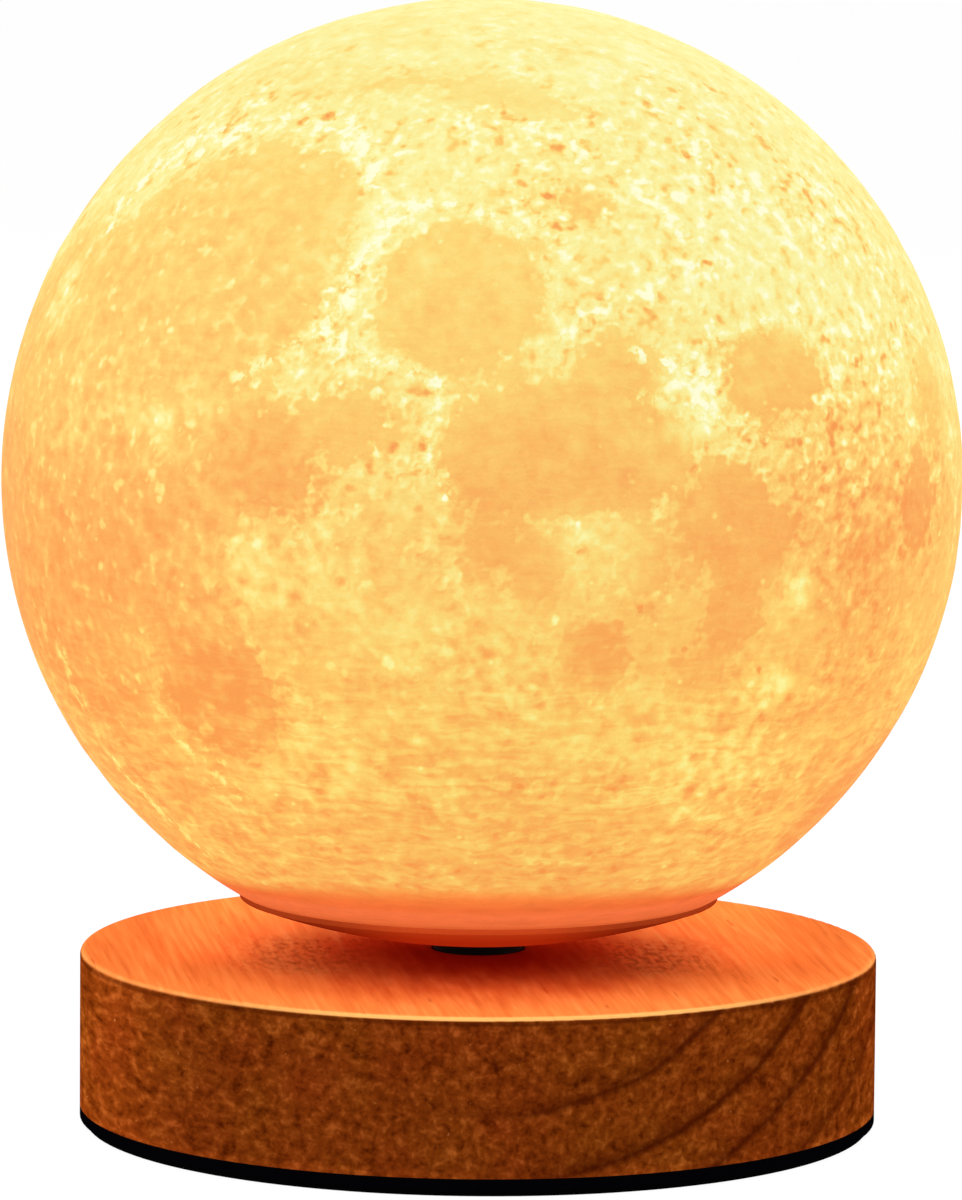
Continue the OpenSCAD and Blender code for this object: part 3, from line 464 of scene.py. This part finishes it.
MOON_GLOW, CAP_GLOW = 0.745, 0.32
PRINT_BASE, CAP_BASE = 0.2, 0.7    # how much of the colour the room's light meets
FIBRE_TURN = math.radians(-7.5)    # the wood's fibres, from the Y axis
HEART_X, HEART_Z = -6.6, 67.8      # the growth rings' middle, in mm
SHADE_Y = -9                       # the middle of the painted shadow under the moon, in mm

# How bright the highlands are from the bottom of the moon to its top, as painted light of the lamp
# inside: [share of the way, tone]
TONES = [
    [0.0, 0.27], [0.17, 0.34], [0.31, 0.42], [0.44, 0.50],
    [0.56, 0.69], [0.70, 0.81], [0.82, 0.88], [1.0, 0.91],
]

# The wood's growth lines: where each begins, half way, darkest and end, then both strengths
GROWTH_LINES = [
    [0.20, 0.242, 0.252, 0.268, 0.40, 0.90], [0.38, 0.422, 0.436, 0.454, 0.45, 0.95],
    [0.52, 0.557, 0.571, 0.590, 0.40, 0.90], [0.67, 0.704, 0.718, 0.735, 0.30, 0.60],
]


def linear(red, green, blue):
    """A colour given in 0 to 255 as the display shows it, as linear light."""
    def one(c):
        c /= 255
        return c / 12.92 if c < 0.04045 else ((c + 0.055) / 1.055) ** 2.4
    return one(red), one(green), one(blue), 1


def grey(value):
    return (value,) * 4


class Graph:
    """One material's nodes. Each call adds a node and gives its output; plain values set a socket."""

    def __init__(self, name):
        self.material = bpy.data.materials.new(name)
        self.material.use_nodes = True
        self.tree = self.material.node_tree
        self.tree.nodes.clear()
        self.out = self.tree.nodes.new("ShaderNodeOutputMaterial")
        self.shader = self.tree.nodes.new("ShaderNodeBsdfPrincipled")
        self.tree.links.new(self.shader.outputs[0], self.out.inputs[0])

    def node(self, kind, inputs, output=0, **settings):
        node = self.tree.nodes.new("ShaderNode" + kind)
        for key, value in settings.items():
            setattr(node, key, value)
        for key, value in (inputs.items() if isinstance(inputs, dict) else enumerate(inputs)):
            self.put(node.inputs[key], value)
        return node.outputs[output]

    def put(self, socket, value):
        if isinstance(value, bpy.types.NodeSocket):
            self.tree.links.new(value, socket)
        elif value is not None:
            socket.default_value = value

    def surface(self, **values):
        names = dict(color="Base Color", rough="Roughness", normal="Normal", metal="Metallic",
                     spec="Specular IOR Level", emit="Emission Color", power="Emission Strength",
                     clear="Transmission Weight", ior="IOR")
        for key, value in values.items():
            self.put(self.shader.inputs[names[key]], value)
        return self.material

    def math(self, operation, *values):
        return self.node("Math", values, operation=operation)

    def add(self, *values):
        total = values[0]
        for value in values[1:]:
            total = self.math("ADD", total, value)
        return total

    def times(self, *values):
        total = values[0]
        for value in values[1:]:
            total = self.math("MULTIPLY", total, value)
        return total

    def part(self, point, axis):
        """One coordinate of a point: 0, 1 or 2."""
        return self.node("SeparateXYZ", [point], axis)

    def span(self, value, low, high, to_low=0.0, to_high=1.0, kind="SMOOTHSTEP"):
        return self.node("MapRange", [value, low, high, to_low, to_high], interpolation_type=kind)

    def vector(self, operation, *values, output=0):
        return self.node("VectorMath", values, output, operation=operation)

    def place(self):
        """The piece's own coordinates in mm, which ride with it."""
        point = self.node("TexCoord", [], 3)
        return self.vector("MULTIPLY", point, (1000, 1000, 1000))

    def noise(self, point, size, detail=2.0, rough=0.5, stretch=(1, 1, 1), distort=0.0):
        """Noise about 0, with its grain size in mm, drawn out by the stretch."""
        scaled = self.vector("MULTIPLY", point, tuple(1 / (size * s) for s in stretch))
        value = self.node("TexNoise", {"Vector": scaled, "Scale": 1.0, "Detail": detail,
                                       "Roughness": rough, "Distortion": distort})
        return self.math("SUBTRACT", value, 0.5)

    def cells(self, point, size):
        """Voronoi cells of a size in mm: distance, colour and place of the nearest seed."""
        scaled = self.vector("MULTIPLY", point, (1 / size,) * 3)
        node = self.tree.nodes.new("ShaderNodeTexVoronoi")
        self.put(node.inputs["Vector"], scaled)
        self.put(node.inputs["Scale"], 1.0)
        return scaled, node.outputs[0], node.outputs[1], node.outputs[2]

    def ramp(self, value, stops):
        node = self.tree.nodes.new("ShaderNodeValToRGB")
        self.put(node.inputs[0], value)
        elements = node.color_ramp.elements
        while len(elements) < len(stops):
            elements.new(0.5)
        for element, (position, color) in zip(elements, stops):
            element.position = position
            element.color = color
        return node.outputs[0]

    def blend(self, factor, a, b):
        node = self.tree.nodes.new("ShaderNodeMix")
        node.data_type = "RGBA"
        for socket, value in zip((node.inputs[0], node.inputs[6], node.inputs[7]), (factor, a, b)):
            self.put(socket, value)
        return node.outputs[2]

    def tint(self, color, factor):
        """A colour times a number."""
        return self.node("VectorMath", {0: color, 3: factor}, operation="SCALE")

    def bump(self, height, depth_mm, strength=1.0):
        return self.node("Bump", {"Strength": strength, "Distance": depth_mm * MM, "Height": height})

    def attribute(self, name):
        return self.node("Attribute", [], 2, attribute_name=name)


def small_craters(g, point, size, seed):
    """Scattered craters of many sizes, lit from above left: each has a dark side and a bright side."""
    point = g.vector("ADD", point, (seed, seed * 1.7, -seed))
    scaled, away, cell, middle = g.cells(point, size)
    chance = g.node("SeparateColor", [cell], 0)
    reach = g.span(chance, 0.25, 1, 0.06, 0.42)
    r = g.math("DIVIDE", away, reach)
    lean = g.vector("DOT_PRODUCT", g.vector("SUBTRACT", scaled, middle), (0.55, 0.2, -0.8), output=1)
    slope = g.math("DIVIDE", lean, reach)
    inside = g.times(g.span(r, 0.25, 0.8), g.span(r, 0.8, 1.25, 1.0, 0.0))
    outside = g.times(g.span(r, 0.8, 1.15), g.span(r, 1.15, 1.7, 1.0, 0.0))
    return g.times(slope, g.math("SUBTRACT", inside, g.times(outside, 0.5)))


def relief_light(g, point, size, detail, rough):
    """Noise, and the same noise as a relief lit from above left, saturated to crisp marks."""
    here = g.noise(point, size, detail, rough)
    across = g.vector("ADD", point, (0.20 * size, 0, -0.27 * size))
    slope = g.math("SUBTRACT", g.noise(across, size, detail, rough), here)
    return here, g.span(slope, -0.13, 0.13, -1.0, 1.0)


def moon_material():
    """Lit print: the fields on the mesh give the places, and noise gives all the detail in them."""
    g = Graph("moon_print")
    point = g.place()
    side, ahead, up = g.part(point, 0), g.part(point, 1), g.part(point, 2)
    height = g.math("DIVIDE", g.math("SUBTRACT", up, MOON_Z / MM), MOON_R / MM)
    wide = g.noise(point, 12, 3, 0.6)
    broad, broad_light = relief_light(g, point, 5, 2, 0.5)
    fine, fine_light = relief_light(g, point, 1.9, 1.5, 0.45)
    grain = g.noise(point, 0.55, 3, 0.6)
    sag = g.node("CombineXYZ", [0.0, 0.0, g.add(g.times(wide, 5.0), g.times(broad, 0.8))])
    drawn = g.vector("ADD", point, sag)
    layers = g.noise(drawn, 0.5, 1.5, 0.5, (12, 12, 1))
    streaks = g.noise(drawn, 1.0, 1.5, 0.5, (7, 7, 1), 0.5)
    streaks = g.span(streaks, -0.17, 0.17, -1.0, 1.0)

    # Maria, with edges broken up by the noise
    mare = g.add(g.attribute("mare"), g.times(wide, 3.5), g.times(broad, 6.0), g.times(fine, 6.5),
                 g.times(grain, 1.5))
    flat = g.span(mare, -0.8, 0.9)
    rough_land = g.math("SUBTRACT", 1.0, flat)

    # Tone, painted light of the lamp inside, which lights the top of the shell more than the bottom:
    # the highlands fade from yellow above to orange below, and a little towards the lower limb
    tone = g.ramp(g.span(height, -0.8, 1.0, kind="LINEAR"), [(at, grey(t)) for at, t in TONES])
    limb = g.times(g.span(g.math("ABSOLUTE", side), 22, 62), g.span(height, 0.3, -0.1))
    tone = g.add(tone, g.times(side, 0.0004), g.times(limb, -0.07))
    tone = g.math("SUBTRACT", tone, g.times(flat, g.attribute("depth")))
    blotches = g.span(g.add(fine, g.times(grain, 0.5)), -0.01, 0.12)
    chains = g.times(g.attribute("mountains"), g.add(0.1, g.times(blotches, 1.7)))
    clouds = g.times(g.attribute("patches"), g.add(0.8, g.times(broad, 3.0), g.times(fine, 3.0)))
    tone = g.add(tone, chains, clouds, g.times(g.attribute("relief"), -0.12))

    # Speckle: strong on the highlands above, weaker below and beside the disc, faint on the maria
    craters = g.add(g.times(small_craters(g, point, 6.5, 3.1), 0.18),
                    g.times(small_craters(g, point, 3.0, 11.3), 0.30))
    dabs = g.noise(g.vector("ADD", point, (31, 7, 19)), 2.3, 1.2, 0.5)
    tips = g.span(dabs, 0.04, 0.22, 0.0, 0.48)
    dabs = g.add(tips, g.span(dabs, -0.04, -0.24, 0.0, -0.50))
    bold = g.times(g.span(height, -0.2, 0.4, 0.36, 1.0), g.span(wide, -0.10, 0.13, 0.55, 1.3))
    slant = g.span(g.math("ABSOLUTE", ahead), 8, 42, 0.5, 1.0)
    bold = g.times(bold, g.span(height, 0.72, 0.95, 1.0, 0.5), slant)
    marks = g.add(craters, dabs, g.times(fine_light, 0.10), g.times(broad_light, 0.04),
                  g.times(grain, 0.12), g.times(g.attribute("mountains"), fine_light, 0.3))
    speckle = g.add(g.times(marks, bold), g.times(fine, 0.38), g.times(broad, 0.52))
    leftward = g.times(g.span(side, -12, -50), slant)
    quiet = g.add(g.times(fine, g.add(0.26, g.times(leftward, 0.2))), g.times(grain, 0.06),
                  g.times(broad, 0.38), g.times(fine_light, 0.012), g.times(craters, 0.12),
                  g.times(dabs, 0.06),
                  g.times(tips, leftward, g.span(wide, -0.05, 0.10, 0.2, 0.7)))

    # Scattered bright dots, then fine streaks that grow stronger downwards
    _, dots, dot_cell, _ = g.cells(point, 3.6)
    dot_chance = g.node("SeparateColor", [dot_cell], 1)
    dots = g.add(dots, g.times(fine, 0.3))
    dots = g.times(g.span(dots, 0.06, 0.16, 0.32, 0.0), g.span(dot_chance, 0.75, 0.95))
    tone = g.add(tone, g.times(rough_land, speckle), g.times(flat, quiet), dots)
    low = g.span(height, -0.05, -0.55)
    tone = g.add(tone, g.times(layers, 0.11), g.times(streaks, g.add(0.015, g.times(low, 0.08))),
                 g.times(low, broad, 0.04))

    # The places in SPOTS, with uneven edges
    jitter = g.add(g.times(fine, 2.0), g.times(grain, 0.6))
    for u, v, radius, strength in SPOTS:
        centre = on_moon(u, v) * MOON_R / MM + np.array((0, 0, MOON_Z / MM))
        away = g.vector("DISTANCE", point, tuple(centre), output=1)
        away = g.add(away, g.times(jitter, radius))
        tone = g.add(tone, g.span(away, 0.2 * radius, 0.85 * radius, 0.8 * strength, 0.0))

    color = g.ramp(g.times(tone, 0.75), [
        (0.0, linear(248, 158, 84)), (0.15, linear(250, 177, 95)), (0.30, linear(252, 198, 107)),
        (0.45, linear(252, 218, 123)), (0.60, linear(251, 234, 146)), (0.75, linear(251, 244, 167)),
        (0.98, linear(255, 253, 214))])

    # The smooth salmon band at the bottom, painted shade where the board inside keeps the lamp's light
    # off the shell; its edge sways a little, higher in front and behind than at the left and right
    sway = g.math("SUBTRACT", g.times(ahead, ahead), g.times(side, side))
    shaded_band = g.span(g.add(height, g.times(broad, 0.004), g.times(sway, -1.1e-5)), -0.768, -0.815)
    salmon = g.ramp(g.span(height, -0.87, -0.77, kind="LINEAR"), [
        (0.0, linear(214, 90, 42)), (0.13, linear(240, 116, 66)), (0.40, linear(250, 124, 74)),
        (0.55, linear(244, 118, 62)), (1.0, linear(255, 146, 72))])
    salmon = g.tint(salmon, g.add(1.0, g.times(layers, 0.25), g.times(broad, 0.15)))
    color = g.blend(shaded_band, color, salmon)
    # Painted light of the lamp inside, as above: the glow turns less blue towards the bottom
    less_blue = g.node("CombineXYZ", [1, 1, g.span(height, 0.1, -0.5, 1, 0.88)])
    color = g.vector("MULTIPLY", color, less_blue)
    color = g.tint(color, g.add(g.span(height, 0.5, -0.6, 0.985, 1.04), g.times(grain, 0.05),
                                g.times(fine_light, 0.008)))
    return g.surface(color=g.tint(color, PRINT_BASE), emit=color, power=MOON_GLOW, rough=0.65,
                     spec=0.02, normal=g.bump(g.add(g.times(layers, 0.6), grain), 0.3, 0.6))


def cap_material():
    """The dish under the moon: red near the neck, with painted shade that makes it browner and darker
    up its sides and darker to the left and right of the front.
    """
    g = Graph("cap_print")
    point = g.place()
    aside, up = g.math("ABSOLUTE", g.part(point, 0)), g.part(point, 2)
    grain = g.noise(point, 0.5, 3, 0.6)
    layers = g.noise(point, 0.3, 2, 0.5, (30, 30, 1))
    cloud = g.noise(point, 6, 3, 0.5)
    level = g.add(g.span(up, 29, 36.6, kind="LINEAR"), g.times(cloud, 0.06))
    color = g.ramp(level, [(0.0, linear(236, 60, 22)), (0.30, linear(228, 62, 20)),
                           (0.62, linear(202, 62, 18)), (0.88, linear(196, 74, 28)),
                           (1.0, linear(206, 84, 38))])
    # Painted shade: darker to the left and right of the front
    color = g.tint(color, g.add(g.span(aside, 7, 25, 1.0, 0.55), g.times(grain, 0.12),
                                g.times(layers, 0.08)))
    return g.surface(color=g.tint(color, CAP_BASE), emit=color, power=CAP_GLOW, rough=0.55, spec=0.0,
                     normal=g.bump(g.add(grain, layers), 0.12, 0.4))


def wood_material():
    """Solid wood: end grain with growth lines on the wall, long grain on the top, an eased edge. The
    top is lighter than the wall partly for its grain and partly as painted light from the glowing moon;
    the edge carries a painted highlight over a thin line of painted shade, and the top the moon's
    painted shadow.
    """
    g = Graph("base_wood")
    point = g.place()
    fibre = g.node("VectorRotate", {"Vector": point, "Angle": FIBRE_TURN}, rotation_type="Z_AXIS")
    across, up = g.part(fibre, 0), g.part(fibre, 2)
    climb = g.math("SUBTRACT", up, (WOOD_TOP - EDGE_R) / MM)
    top = g.span(climb, 0.3, 0.75)
    off_middle = g.math("ABSOLUTE", across)
    # Painted highlight along the eased edge, strongest where the edge faces front or back
    edge_highlight = g.times(g.span(climb, 0.25, 0.5), g.span(climb, 0.8, 1.0, 1.0, 0.0),
                       g.span(off_middle, 20, 56, 0.75, 0.1))
    # Painted shade in a thin line just under the eased edge
    edge_shade = g.times(g.span(climb, -0.6, -0.2), g.span(climb, 0.1, 0.3, 1.0, 0.0))

    # Growth rings round a heart that lies above the block
    warp = g.noise(fibre, 14, 2, 0.5, (1, 9, 1))
    away = g.vector("LENGTH", g.node("CombineXYZ", [g.math("SUBTRACT", across, HEART_X), 0.0,
                                                   g.math("SUBTRACT", up, HEART_Z)]), output=1)
    away = g.add(away, g.times(warp, 2.5))
    stops = [(0.0, grey(0))]
    for begin, middle, darkest, end, half, full in GROWTH_LINES:
        stops += [(begin, grey(0)), (middle, grey(half)), (darkest, grey(full)), (end, grey(0))]
    rings = g.ramp(g.span(away, 40, 100, kind="LINEAR"), stops)
    rings = g.times(rings, g.span(across, -16, 10, 0.12, 1.0))
    slow = g.noise(fibre, 7, 3, 0.55, (1, 6, 1))

    # End grain, seen on the wall: curly mottling with a few pale pores and dark pits
    curls = g.noise(fibre, 1.5, 2, 0.5, (1, 4, 1), 0.3)
    mottle = g.noise(fibre, 4.5, 2, 0.5, (1, 4, 1))
    pores = g.noise(fibre, 0.6, 2, 0.5, (1, 5, 1))
    specks = g.span(g.noise(fibre, 0.8, 1, 0.4, (1, 3, 1)), 0.25, 0.33)
    wall = g.ramp(g.add(0.5, g.times(curls, 1.6), g.times(mottle, 0.2), g.times(slow, 0.3),
                        g.times(pores, 0.6)), [
        (0.0, linear(64, 19, 1)), (0.4, linear(100, 40, 6)), (0.6, linear(112, 48, 9)),
        (1.0, linear(146, 72, 24))])
    greener = g.add(1.0, g.times(g.noise(fibre, 11, 2, 0.5), 0.5))
    wall = g.vector("MULTIPLY", wall, g.node("CombineXYZ", [1.0, greener, 1.0]))
    wall = g.blend(g.times(specks, 0.30), wall, linear(190, 116, 56))
    wall = g.blend(g.times(rings, 0.9), wall, linear(52, 9, 1))
    # Painted shade under the edge
    wall = g.blend(g.times(edge_shade, 0.5), wall, linear(60, 18, 1))
    # Painted light: the wall is lighter towards its left and right ends; it is also a little lighter
    # just above the foot
    wall = g.tint(wall, g.add(1.0, g.span(across, -48, -62, 0.0, 0.65), g.span(up, 4.4, 3.2, 0.0, 0.3),
                              g.span(across, 50, 62, 0.0, 0.28)))

    # Long grain, seen on the top: fine strokes along the fibre, in colours made lighter partly by
    # painted light from the glowing moon
    strokes = g.noise(fibre, 0.9, 1.5, 0.5, (1, 26, 1))
    long_pores = g.span(g.noise(fibre, 0.8, 2, 0.5, (1, 16, 1)), 0.17, 0.27)
    face = g.ramp(g.add(0.5, g.times(strokes, 0.85), g.times(slow, 0.4)), [
        (0.0, linear(208, 96, 42)), (0.5, linear(240, 134, 66)), (1.0, linear(252, 166, 92))])
    face = g.blend(g.times(long_pores, 0.45), face, linear(180, 60, 18))
    # Painted light: the top is lighter towards its left and right, where more of the moon's glow falls
    face = g.tint(face, g.span(off_middle, 22, 58, 1.0, 1.12))

    # Painted shadow of the moon and its dish on the top: darker and redder round the neck, further out
    # in front, with dark patches beside it
    aside, ahead = g.math("ABSOLUTE", g.part(point, 0)), g.part(point, 1)
    from_shade = g.math("SUBTRACT", ahead, SHADE_Y)
    from_shade = g.math("MAXIMUM", from_shade, g.times(from_shade, 1.6))
    reach = g.vector("LENGTH", g.node("CombineXYZ", [g.times(aside, 1.25), from_shade, 0.0]), output=1)
    shadow_noise = g.noise(fibre, 3, 2, 0.5, (1, 5, 1))
    reach = g.add(reach, g.times(shadow_noise, 24))
    face = g.blend(g.span(reach, 50, 24, 0.0, 0.65), face, linear(200, 60, 14))
    face = g.blend(g.span(reach, 36, 4, 0.0, 0.78), face, linear(134, 4, 1))
    # Painted shade: dark patches in the shadow beside the neck
    shadow_blots = g.span(g.add(g.noise(fibre, 1.1, 1, 0.5, (1, 3, 1)), g.times(shadow_noise, 0.5)), -0.16, 0.26)
    shadow_blots = g.times(shadow_blots, g.span(aside, 12, 24), g.span(aside, 44, 28),
                    g.span(ahead, 14, 3), g.span(ahead, -30, -14))
    face = g.blend(g.times(shadow_blots, 0.66), face, linear(150, 50, 12))
    # Painted light from the moon's glow: the top is lighter to either side of the neck, fading towards
    # the front
    painted_glow = g.times(g.span(aside, 12, 24), g.span(aside, 56, 38), g.span(ahead, -24, 2))
    face = g.tint(face, g.add(1.0, g.times(painted_glow, 0.55)))
    # The top's lighter colours are partly painted light from the moon's glow
    color = g.blend(top, wall, face)
    # Painted highlight on the eased edge
    color = g.blend(edge_highlight, color, linear(255, 188, 108))
    height = g.add(g.times(pores, 0.5), g.times(g.math("SUBTRACT", 1.0, top), curls),
                   g.times(top, strokes))
    rough = g.add(0.58, g.times(pores, 0.2))
    return g.surface(color=color, rough=rough, spec=0.0, normal=g.bump(height, 0.12, 0.5))


def moulded(name, color, rough=0.45, grain=0.25, spec=0.4, metal=0.0, **more):
    """Moulded plastic, rubber or plain metal with a fine texture and slight unevenness."""
    g = Graph(name)
    point = g.place()
    fine = g.noise(point, grain, 3, 0.6)
    cloud = g.noise(point, 9, 3, 0.5)
    shade = g.add(1.0, g.times(cloud, 0.25), g.times(fine, 0.15))
    return g.surface(color=g.tint(linear(*color)[:3], shade), rough=g.add(rough, g.times(fine, 0.12),
                     g.times(cloud, 0.1)), spec=spec, metal=metal,
                     normal=g.bump(fine, 0.04, 0.5), **more)


def circuit(name, color, line):
    """A circuit board: solder mask over faint tracks, with a slight sheen."""
    g = Graph(name)
    point = g.place()
    scaled = g.vector("MULTIPLY", point, (0.6, 0.6, 0.6))
    tracks = g.node("TexVoronoi", {"Vector": scaled, "Scale": 1.0}, feature="DISTANCE_TO_EDGE")
    tracks = g.span(tracks, 0.03, 0.07, 1.0, 0.0)
    fine = g.noise(point, 0.4, 2, 0.5)
    base = g.blend(g.times(tracks, 0.5), linear(*color), linear(*line))
    return g.surface(color=g.tint(base, g.add(1.0, g.times(fine, 0.2))), rough=0.4, spec=0.5,
                     normal=g.bump(g.add(tracks, fine), 0.03, 0.4))


def lamp_chip():
    """The yellow face of a lit LED."""
    g = Graph("led_phosphor")
    point = g.place()
    fine = g.noise(point, 0.3, 2, 0.5)
    color = g.tint(linear(255, 214, 120)[:3], g.add(1.0, g.times(fine, 0.2)))
    return g.surface(color=color, emit=color, power=1.0, rough=0.5)


def dress(material, *nodes):
    """Gives carried-over CAD nodes their material."""
    for name in nodes:
        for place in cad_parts[name].material_slots:
            place.material = material


def make_materials():
    dress(cap_material(), "bottom_cap")
    dress(wood_material(), "wood_base")
    dress(moulded("spindle_black", (6, 6, 8), 0.35, 0.2, 0.1), "spindle")
    dress(moulded("plate_black", (3, 3, 5), 0.6, 0.3, 0.0), "bottom_plate")
    dress(moulded("foot_rubber", (6, 6, 7), 0.8, 0.35, 0.0), "foot_ring")
    dress(moulded("port_black", (20, 20, 22), 0.5, 0.25, 0.1), "port_plate")
    dress(moulded("button_grey", (66, 66, 70), 0.45, 0.25, 0.15), "light_button", "turn_button")
    dress(moulded("white_plastic", (236, 234, 226), 0.45, 0.3), "led_tray")
    dress(moulded("dark_plastic", (34, 34, 38), 0.5, 0.3), "chassis", "slip_ring_body",
          "slip_ring_rotor", "light_switch", "turn_switch")
    dress(moulded("screw_steel", (186, 186, 190), 0.3, 0.15, 0.5, 1.0), "tray_screws",
          "led_board_screws", "spindle_screws", "chassis_screws", "motor_screws", "plate_screws",
          "board_screws", "motor_shaft")
    dress(moulded("port_screw_steel", (70, 70, 74), 0.35, 0.12, 0.5, 1.0), "port_screws")
    dress(moulded("spring_steel", (140, 140, 148), 0.3, 0.2, 0.5, 1.0), "spindle_clip")
    dress(moulded("washer_plastic", (226, 220, 200), 0.4, 0.2), "thrust_washer",
          "light_switch_plunger", "turn_switch_plunger")
    dress(moulded("gear_plastic", (230, 228, 218), 0.38, 0.25), "spindle_gear", "motor_pinion",
          "motor_gearbox")
    dress(moulded("motor_metal", (190, 190, 196), 0.32, 0.2, 0.5, 1.0), "motor_can")
    dress(moulded("socket_metal", (205, 205, 210), 0.22, 0.12, 0.5, 1.0), "usb_socket")
    dress(moulded("cell_sleeve", (38, 90, 168), 0.28, 0.4, 0.5), "battery_cell")
    dress(moulded("lead_red", (196, 30, 26), 0.4, 0.2), "battery_leads", "led_leads")
    dress(moulded("lead_yellow", (216, 180, 40), 0.4, 0.2), "slip_ring_leads")
    dress(moulded("lead_blue", (26, 44, 150), 0.4, 0.2), "motor_leads")
    dress(circuit("lamp_board", (236, 236, 230), (214, 214, 206)), "led_board")
    dress(circuit("circuit_green", (16, 86, 48), (34, 120, 70)), "control_board")
    dress(lamp_chip(), "led_chips")
    dress(moulded("clear_pipe", (232, 240, 246), 0.12, 0.3, 0.5, clear=0.7, ior=1.49), "light_pipe",
          "indicator_led")


# ---- Stage ----

FLOOR_HALF, FLOOR_Z = 3, -0.1 * MM
FLOOR_GLOW, FLOOR_SHARE = 1.05, 0.9    # the white that the camera sees, and how much of it
WORLD_LIGHT = 0.45                     # the world's light on the object
LAMP_AIM = (0, 0, 0.06)

# Soft lamps: [name, place, width, power]
LAMPS = [
    ["lamp_left", (-1.0, -0.5, 0.55), 0.7, 9.5],
    ["lamp_right", (1.1, -0.35, 0.5), 0.7, 7.5],
    ["lamp_above", (0.1, -0.4, 1.3), 0.8, 7],
    ["lamp_behind", (0.2, 1.2, 0.7), 0.8, 5],
]

# Rays that meet plain white instead of the studio's light
WHITE_RAYS = "Is Camera Ray", "Is Glossy Ray", "Is Transmission Ray"


def white_rays(tree):
    """1 for rays from the camera, or by a reflection or through glass, else 0."""
    path = tree.nodes.new("ShaderNodeLightPath")
    seen = path.outputs[WHITE_RAYS[0]]
    for name in WHITE_RAYS[1:]:
        either = tree.nodes.new("ShaderNodeMath")
        either.operation = "MAXIMUM"
        tree.links.new(seen, either.inputs[0])
        tree.links.new(path.outputs[name], either.inputs[1])
        seen = either.outputs[0]
    return seen


def make_floor():
    """A pale floor, a hair below the foot so that the two surfaces don't share a plane."""
    corners = [(-1, -1), (1, -1), (1, 1), (-1, 1)]
    floor = mesh_object("floor", [(x * FLOOR_HALF, y * FLOOR_HALF, FLOOR_Z) for x, y in corners],
                        [(0, 1, 2, 3)])
    g = Graph("floor")
    g.surface(color=(0.86, 0.86, 0.86, 1), rough=0.9, spec=0.1)
    white = g.node("Emission", [(1, 1, 1, 1), FLOOR_GLOW])
    share = g.times(white_rays(g.tree), FLOOR_SHARE)
    g.put(g.out.inputs[0], g.node("MixShader", [share, g.shader.outputs[0], white]))
    floor.data.materials.append(g.material)


def make_world():
    """Soft even light, and plain white where the camera sees past the floor."""
    world = bpy.data.worlds.new("studio")
    bpy.context.scene.world = world
    world.use_nodes = True
    tree = world.node_tree
    tree.nodes.clear()
    out = tree.nodes.new("ShaderNodeOutputWorld")
    mixed = tree.nodes.new("ShaderNodeMixShader")
    tree.links.new(white_rays(tree), mixed.inputs[0])
    for socket, strength in zip(mixed.inputs[1:], (WORLD_LIGHT, 1.0)):
        light = tree.nodes.new("ShaderNodeBackground")
        light.inputs[0].default_value = (1, 1, 1, 1)
        light.inputs[1].default_value = strength
        tree.links.new(light.outputs[0], socket)
    tree.links.new(mixed.outputs[0], out.inputs[0])


def make_lamp(name, place, size, power):
    data = bpy.data.lights.new(name, "AREA")
    data.shape = "DISK"
    data.size = size
    data.energy = power
    lamp = bpy.data.objects.new(name, data)
    bpy.context.scene.collection.objects.link(lamp)
    aim = Vector(LAMP_AIM) - Vector(place)
    lamp.location = place
    lamp.rotation_euler = aim.to_track_quat("-Z", "Y").to_euler()


# ---- Assembly ----

moon = make_moon()
moon.data.materials.append(moon_material())
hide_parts("moon_shell")
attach(moon, "moon_head")

make_materials()
make_floor()
make_world()
for lamp in LAMPS:
    make_lamp(*lamp)
bpy.context.scene.view_settings.view_transform = "Standard"
